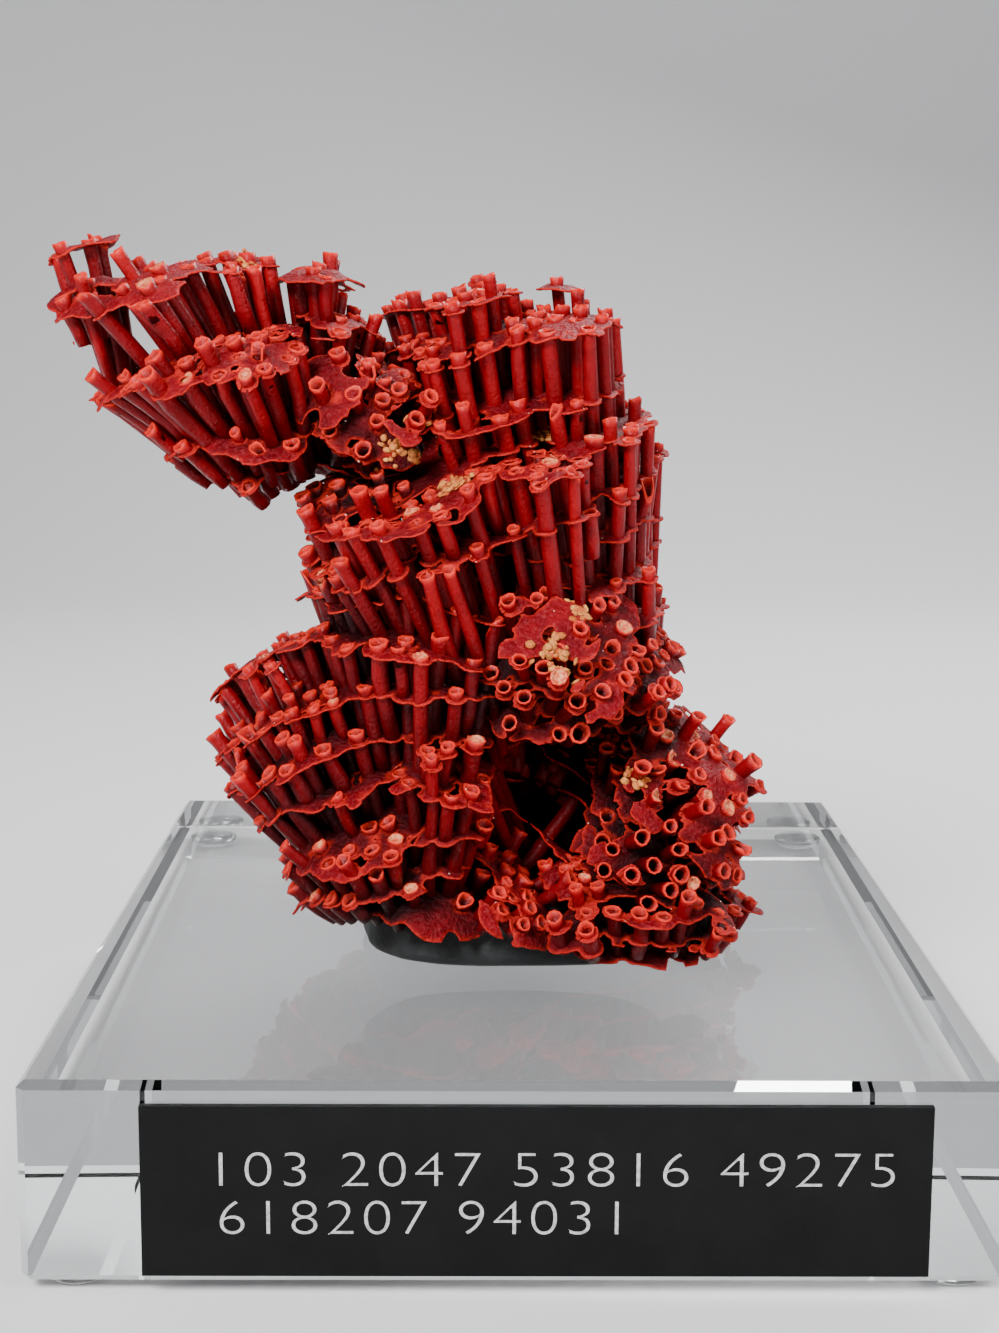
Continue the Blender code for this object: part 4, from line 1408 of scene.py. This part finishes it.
class CORAL_OT_wax_pad(bpy.types.Operator):
    """Press the wax pad that holds the colony"""

    bl_idname = "coral.wax_pad"
    bl_label = "Wax pad"

    def execute(self, context):
        rings = []
        for share, height in WAX_RINGS:
            ring = []
            for step in range(WAX_SIDES):
                turn = tau * step / WAX_SIDES
                x = np.sign(cos(turn)) * abs(cos(turn)) ** WAX_SQUARE
                y = np.sign(sin(turn)) * abs(sin(turn)) ** WAX_SQUARE
                lumps, prints = (
                    noise.noise((often * x, often * y, up))
                    for often, up in ((WAX_LUMPS[1], 0.7), (WAX_PRINTS[1], 4 * height))
                )
                out = share * (1 + WAX_LUMPS[0] * lumps)
                out += WAX_PRINTS[0] * share * prints
                ring.append((x * out * PAD_HALF[0], y * out * PAD_HALF[1], height * PAD_HEIGHT))
            rings.append(placed(np.array(ring) + (*PAD_MIDDLE, BLOCK_TOP + PAD_GAP)))
        obj = mesh_object("wax_pad", *lofted(rings))
        obj.data.shade_smooth()
        obj.data.materials.append(wax_material())
        finish_piece(obj, "museum_wax", "mounting_pad")
        return {"FINISHED"}


BUMPER_SIDES = 48
BUMPER_SEAT = 0.03 * MM  # of air that keeps a bumper's flats off the block and the table
# share of the radius, and of the height
BUMPER_PROFILE = (
    (0.3, 0.0), (0.66, 0.0), (0.79, 0.06), (0.89, 0.2), (0.96, 0.42), (0.995, 0.7), (1.0, 0.94),
    (0.96, 1.0), (0.4, 1.0),
)  # fmt: skip
CREASE = radians(50)


def bumper(name, node, material):
    """One moulded bumper in the room of the given one: its profile turned round."""
    spots = np.array([node.matrix_world @ vert.co for vert in node.data.vertices])
    low, high = spots.min(axis=0), spots.max(axis=0)
    middle, radius = (low + high) / 2, (high[0] - low[0]) / 2
    foot = np.array((middle[0], middle[1], low[2] + BUMPER_SEAT))
    tall = high[2] - low[2] - 2 * BUMPER_SEAT
    rings = [
        foot + radius * across * circle(BUMPER_SIDES) + (0, 0, tall * up)
        for across, up in BUMPER_PROFILE
    ]
    obj = mesh_object(name, *lofted(rings))
    obj.data.shade_smooth()
    obj.data.set_sharp_from_angle(angle=CREASE)
    obj.data.materials.append(material)
    return obj


class CORAL_OT_bumpers(bpy.types.Operator):
    """Mould the four bumpers under the block"""

    bl_idname = "coral.bumpers"
    bl_label = "Bumpers"

    def execute(self, context):
        material = bumper_material()
        feet = [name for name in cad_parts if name.startswith("foot_")]
        for name in feet:
            obj = bumper(name.replace("foot", "bumper"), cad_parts[name], material)
            finish_piece(obj, "clear_bumper", name)
        return {"FINISHED"}


class CORAL_OT_block(bpy.types.Operator):
    """Finish the acrylic block and the label's plate"""

    bl_idname = "coral.block"
    bl_label = "Block and label plate"

    def execute(self, context):
        for name, material in (
            ("display_block", acrylic_material()),
            ("label_plate", label_material()),
        ):
            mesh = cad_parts[name].data
            mesh.materials.clear()
            mesh.materials.append(material)
        return {"FINISHED"}


# each row's piece and setting, then the height of its middle and its width as shares of the plate
DIGIT_ROWS = (("digits_upper", "upper", 0.633, 0.852), ("digits_lower", "lower", 0.349, 0.504))
DIGIT_MARGIN = 0.1  # share of the plate left of the digits
DIGIT_FONT = 1.4  # font size to a digit's height
DIGIT_SPACING, DIGIT_THINNING = 1.12, -0.022
DIGIT_SUNK = 0.02 * MM


def flat_digits(name, words, height, proud):
    """A row of raised digits as a mesh that lies flat, and the low corner and size of it."""
    curve = bpy.data.curves.new(name, "FONT")
    curve.body = words
    curve.size = height * DIGIT_FONT
    curve.extrude = proud / 2
    curve.space_character = DIGIT_SPACING
    curve.offset = DIGIT_THINNING * curve.size
    letters = linked(name, curve)
    mesh = evaluated_mesh(letters)
    bpy.data.objects.remove(letters)
    spots = vertex_places(mesh)
    return mesh, spots.min(axis=0), np.ptp(spots, axis=0)


class CORAL_OT_digits(bpy.types.Operator):
    """Set the two rows of digits on the label"""

    bl_idname = "coral.digits"
    bl_label = "Label digits"

    def execute(self, context):
        settings = context.scene.coral_label
        height, proud = settings.height, settings.proud
        low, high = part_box("label_plate")
        plate = high - low
        stand = Matrix.Rotation(radians(90), 4, "X")
        material = digit_material()
        for name, row, share, width in DIGIT_ROWS:
            mesh, corner, size = flat_digits(name, getattr(settings, row), height, proud)
            fit = Matrix.Diagonal((plate.x * width / size[0], height / size[1], 1.0, 1.0))
            middle = Matrix.Translation(-Vector(corner + (0, 0, size[2] / 2)))
            place = Vector((
                low.x + plate.x * DIGIT_MARGIN,
                low.y - proud / 2 + DIGIT_SUNK,
                low.z + plate.z * share - height / 2,
            ))  # fmt: skip
            mesh.transform(Matrix.Translation(place) @ stand @ fit @ middle)
            mesh.materials.clear()
            mesh.materials.append(material)
            finish_piece(linked(name, mesh), "black_label")
        return {"FINISHED"}


# ---- stage ------------------------------------------------------------------------------------

FLOOR_HALF, FLOOR_FRONT, FLOOR_BACK = 3.0, -1.6, 0.55
SWEEP, SWEEP_STEPS, WALL_TOP = 0.45, 14, 2.2  # radius of the sweep from the floor to the wall
WORLD_STRENGTH = 0.14
# place, size and share of the key's power
LAMPS = {
    "key": ((-0.26, -0.55, 0.5), 0.22, 1.0),
    "fill": ((0.5, -0.4, 0.35), 0.4, 0.3),
    "back": ((0.25, 0.45, 0.6), 0.35, 0.6),
}
LAMPS_AIM = Vector((0.0, 0.0, 0.07))
CAMERA_SPOT = (-4.28, -321.5, 116.7)
CAMERA_DOWN, CAMERA_TURN, CAMERA_ROLL = radians(9.436), radians(0.434), radians(0.269)
CAMERA_LENS, SENSOR = 58.52, 36.0


class CORAL_OT_stage(bpy.types.Operator):
    """Set the pale floor, the soft lights and the camera"""

    bl_idname = "coral.stage"
    bl_label = "Stage"

    def execute(self, context):
        settings = context.scene.coral_stage
        made, _, _ = new_material("pale_paper", Base_Color=(*settings.floor, 1.0), Roughness=0.8)
        bends = np.linspace(0.1, pi / 2, SWEEP_STEPS)
        profile = [(FLOOR_FRONT, 0.0), (FLOOR_BACK, 0.0)]
        profile += [(FLOOR_BACK + SWEEP * sin(t), SWEEP - SWEEP * cos(t)) for t in bends]
        profile += [(FLOOR_BACK + SWEEP, WALL_TOP)]
        points = [(x, y, z) for y, z in profile for x in (-FLOOR_HALF, FLOOR_HALF)]
        faces = [(2 * i, 2 * i + 1, 2 * i + 3, 2 * i + 2) for i in range(len(profile) - 1)]
        floor = mesh_object("floor", points, faces)
        floor.data.materials.append(made)
        floor.data.shade_smooth()
        add_lights(context, settings.key)
        add_camera(context)
        return {"FINISHED"}


def add_lights(context, power):
    """A soft key high on the left, a fill on the right, and one behind for the edges."""
    world = bpy.data.worlds.new("studio")
    world.use_nodes = True
    ground = world.node_tree.nodes["Background"].inputs
    ground["Color"].default_value = shade("#E8EAEE")
    ground["Strength"].default_value = WORLD_STRENGTH
    context.scene.world = world
    for name, (place, size, share) in LAMPS.items():
        lamp = bpy.data.lights.new(name, "AREA")
        lamp.energy = power * share
        lamp.size = size
        obj = linked(name, lamp)
        obj.location = place
        obj.rotation_euler = (LAMPS_AIM - Vector(place)).to_track_quat("-Z", "Y").to_euler()


def add_camera(context):
    """A camera in front of the label, a little over the coral and looking slightly down."""
    down, turn, roll = CAMERA_DOWN, CAMERA_TURN, CAMERA_ROLL
    ahead = Vector((sin(turn) * cos(down), cos(turn) * cos(down), -sin(down)))
    level = Vector((cos(turn), -sin(turn), 0.0))
    upright = level.cross(ahead)
    right = level * cos(roll) + upright * sin(roll)
    up = upright * cos(roll) - level * sin(roll)
    lens = bpy.data.cameras.new("camera")
    lens.lens = CAMERA_LENS
    lens.sensor_width = lens.sensor_height = SENSOR
    lens.sensor_fit = "AUTO"
    obj = linked("camera", lens)
    turned = Matrix((right, up, -ahead)).transposed().to_4x4()
    obj.matrix_world = Matrix.Translation(placed(CAMERA_SPOT)) @ turned
    context.scene.camera = obj


STEPS = (
    CORAL_OT_block,
    CORAL_OT_bumpers,
    CORAL_OT_wax_pad,
    CORAL_OT_pipes,
    CORAL_OT_platforms,
    CORAL_OT_painted_shade,
    CORAL_OT_crumbs,
    CORAL_OT_heart,
    CORAL_OT_digits,
    CORAL_OT_stage,
)
SETTINGS = {
    "coral_pipes": PipeSettings,
    "coral_platforms": PlatformSettings,
    "coral_growth": GrowthSettings,
    "coral_crumbs": CrumbSettings,
    "coral_label": LabelSettings,
    "coral_stage": StageSettings,
}


class CORAL_PT_panel(bpy.types.Panel):
    """Lists the pieces and their sizes"""

    bl_idname = "CORAL_PT_panel"
    bl_label = "Organ pipe coral"
    bl_space_type = "VIEW_3D"
    bl_region_type = "UI"
    bl_category = "Coral"

    def draw(self, context):
        for name, group in SETTINGS.items():
            box = self.layout.box()
            for key in group.__annotations__:
                box.prop(getattr(context.scene, name), key)
        for step in STEPS:
            self.layout.operator(step.bl_idname)


def register():
    for cls in (*SETTINGS.values(), *STEPS, CORAL_PT_panel):
        bpy.utils.register_class(cls)
    for name, group in SETTINGS.items():
        setattr(bpy.types.Scene, name, bpy.props.PointerProperty(type=group))


def unregister():
    for name in SETTINGS:
        delattr(bpy.types.Scene, name)
    for cls in (CORAL_PT_panel, *reversed(STEPS), *SETTINGS.values()):
        bpy.utils.unregister_class(cls)


def main():
    register()
    for step in STEPS:
        group, name = step.bl_idname.split(".")
        getattr(getattr(bpy.ops, group), name)()


if __name__ == "__main__":
    main()
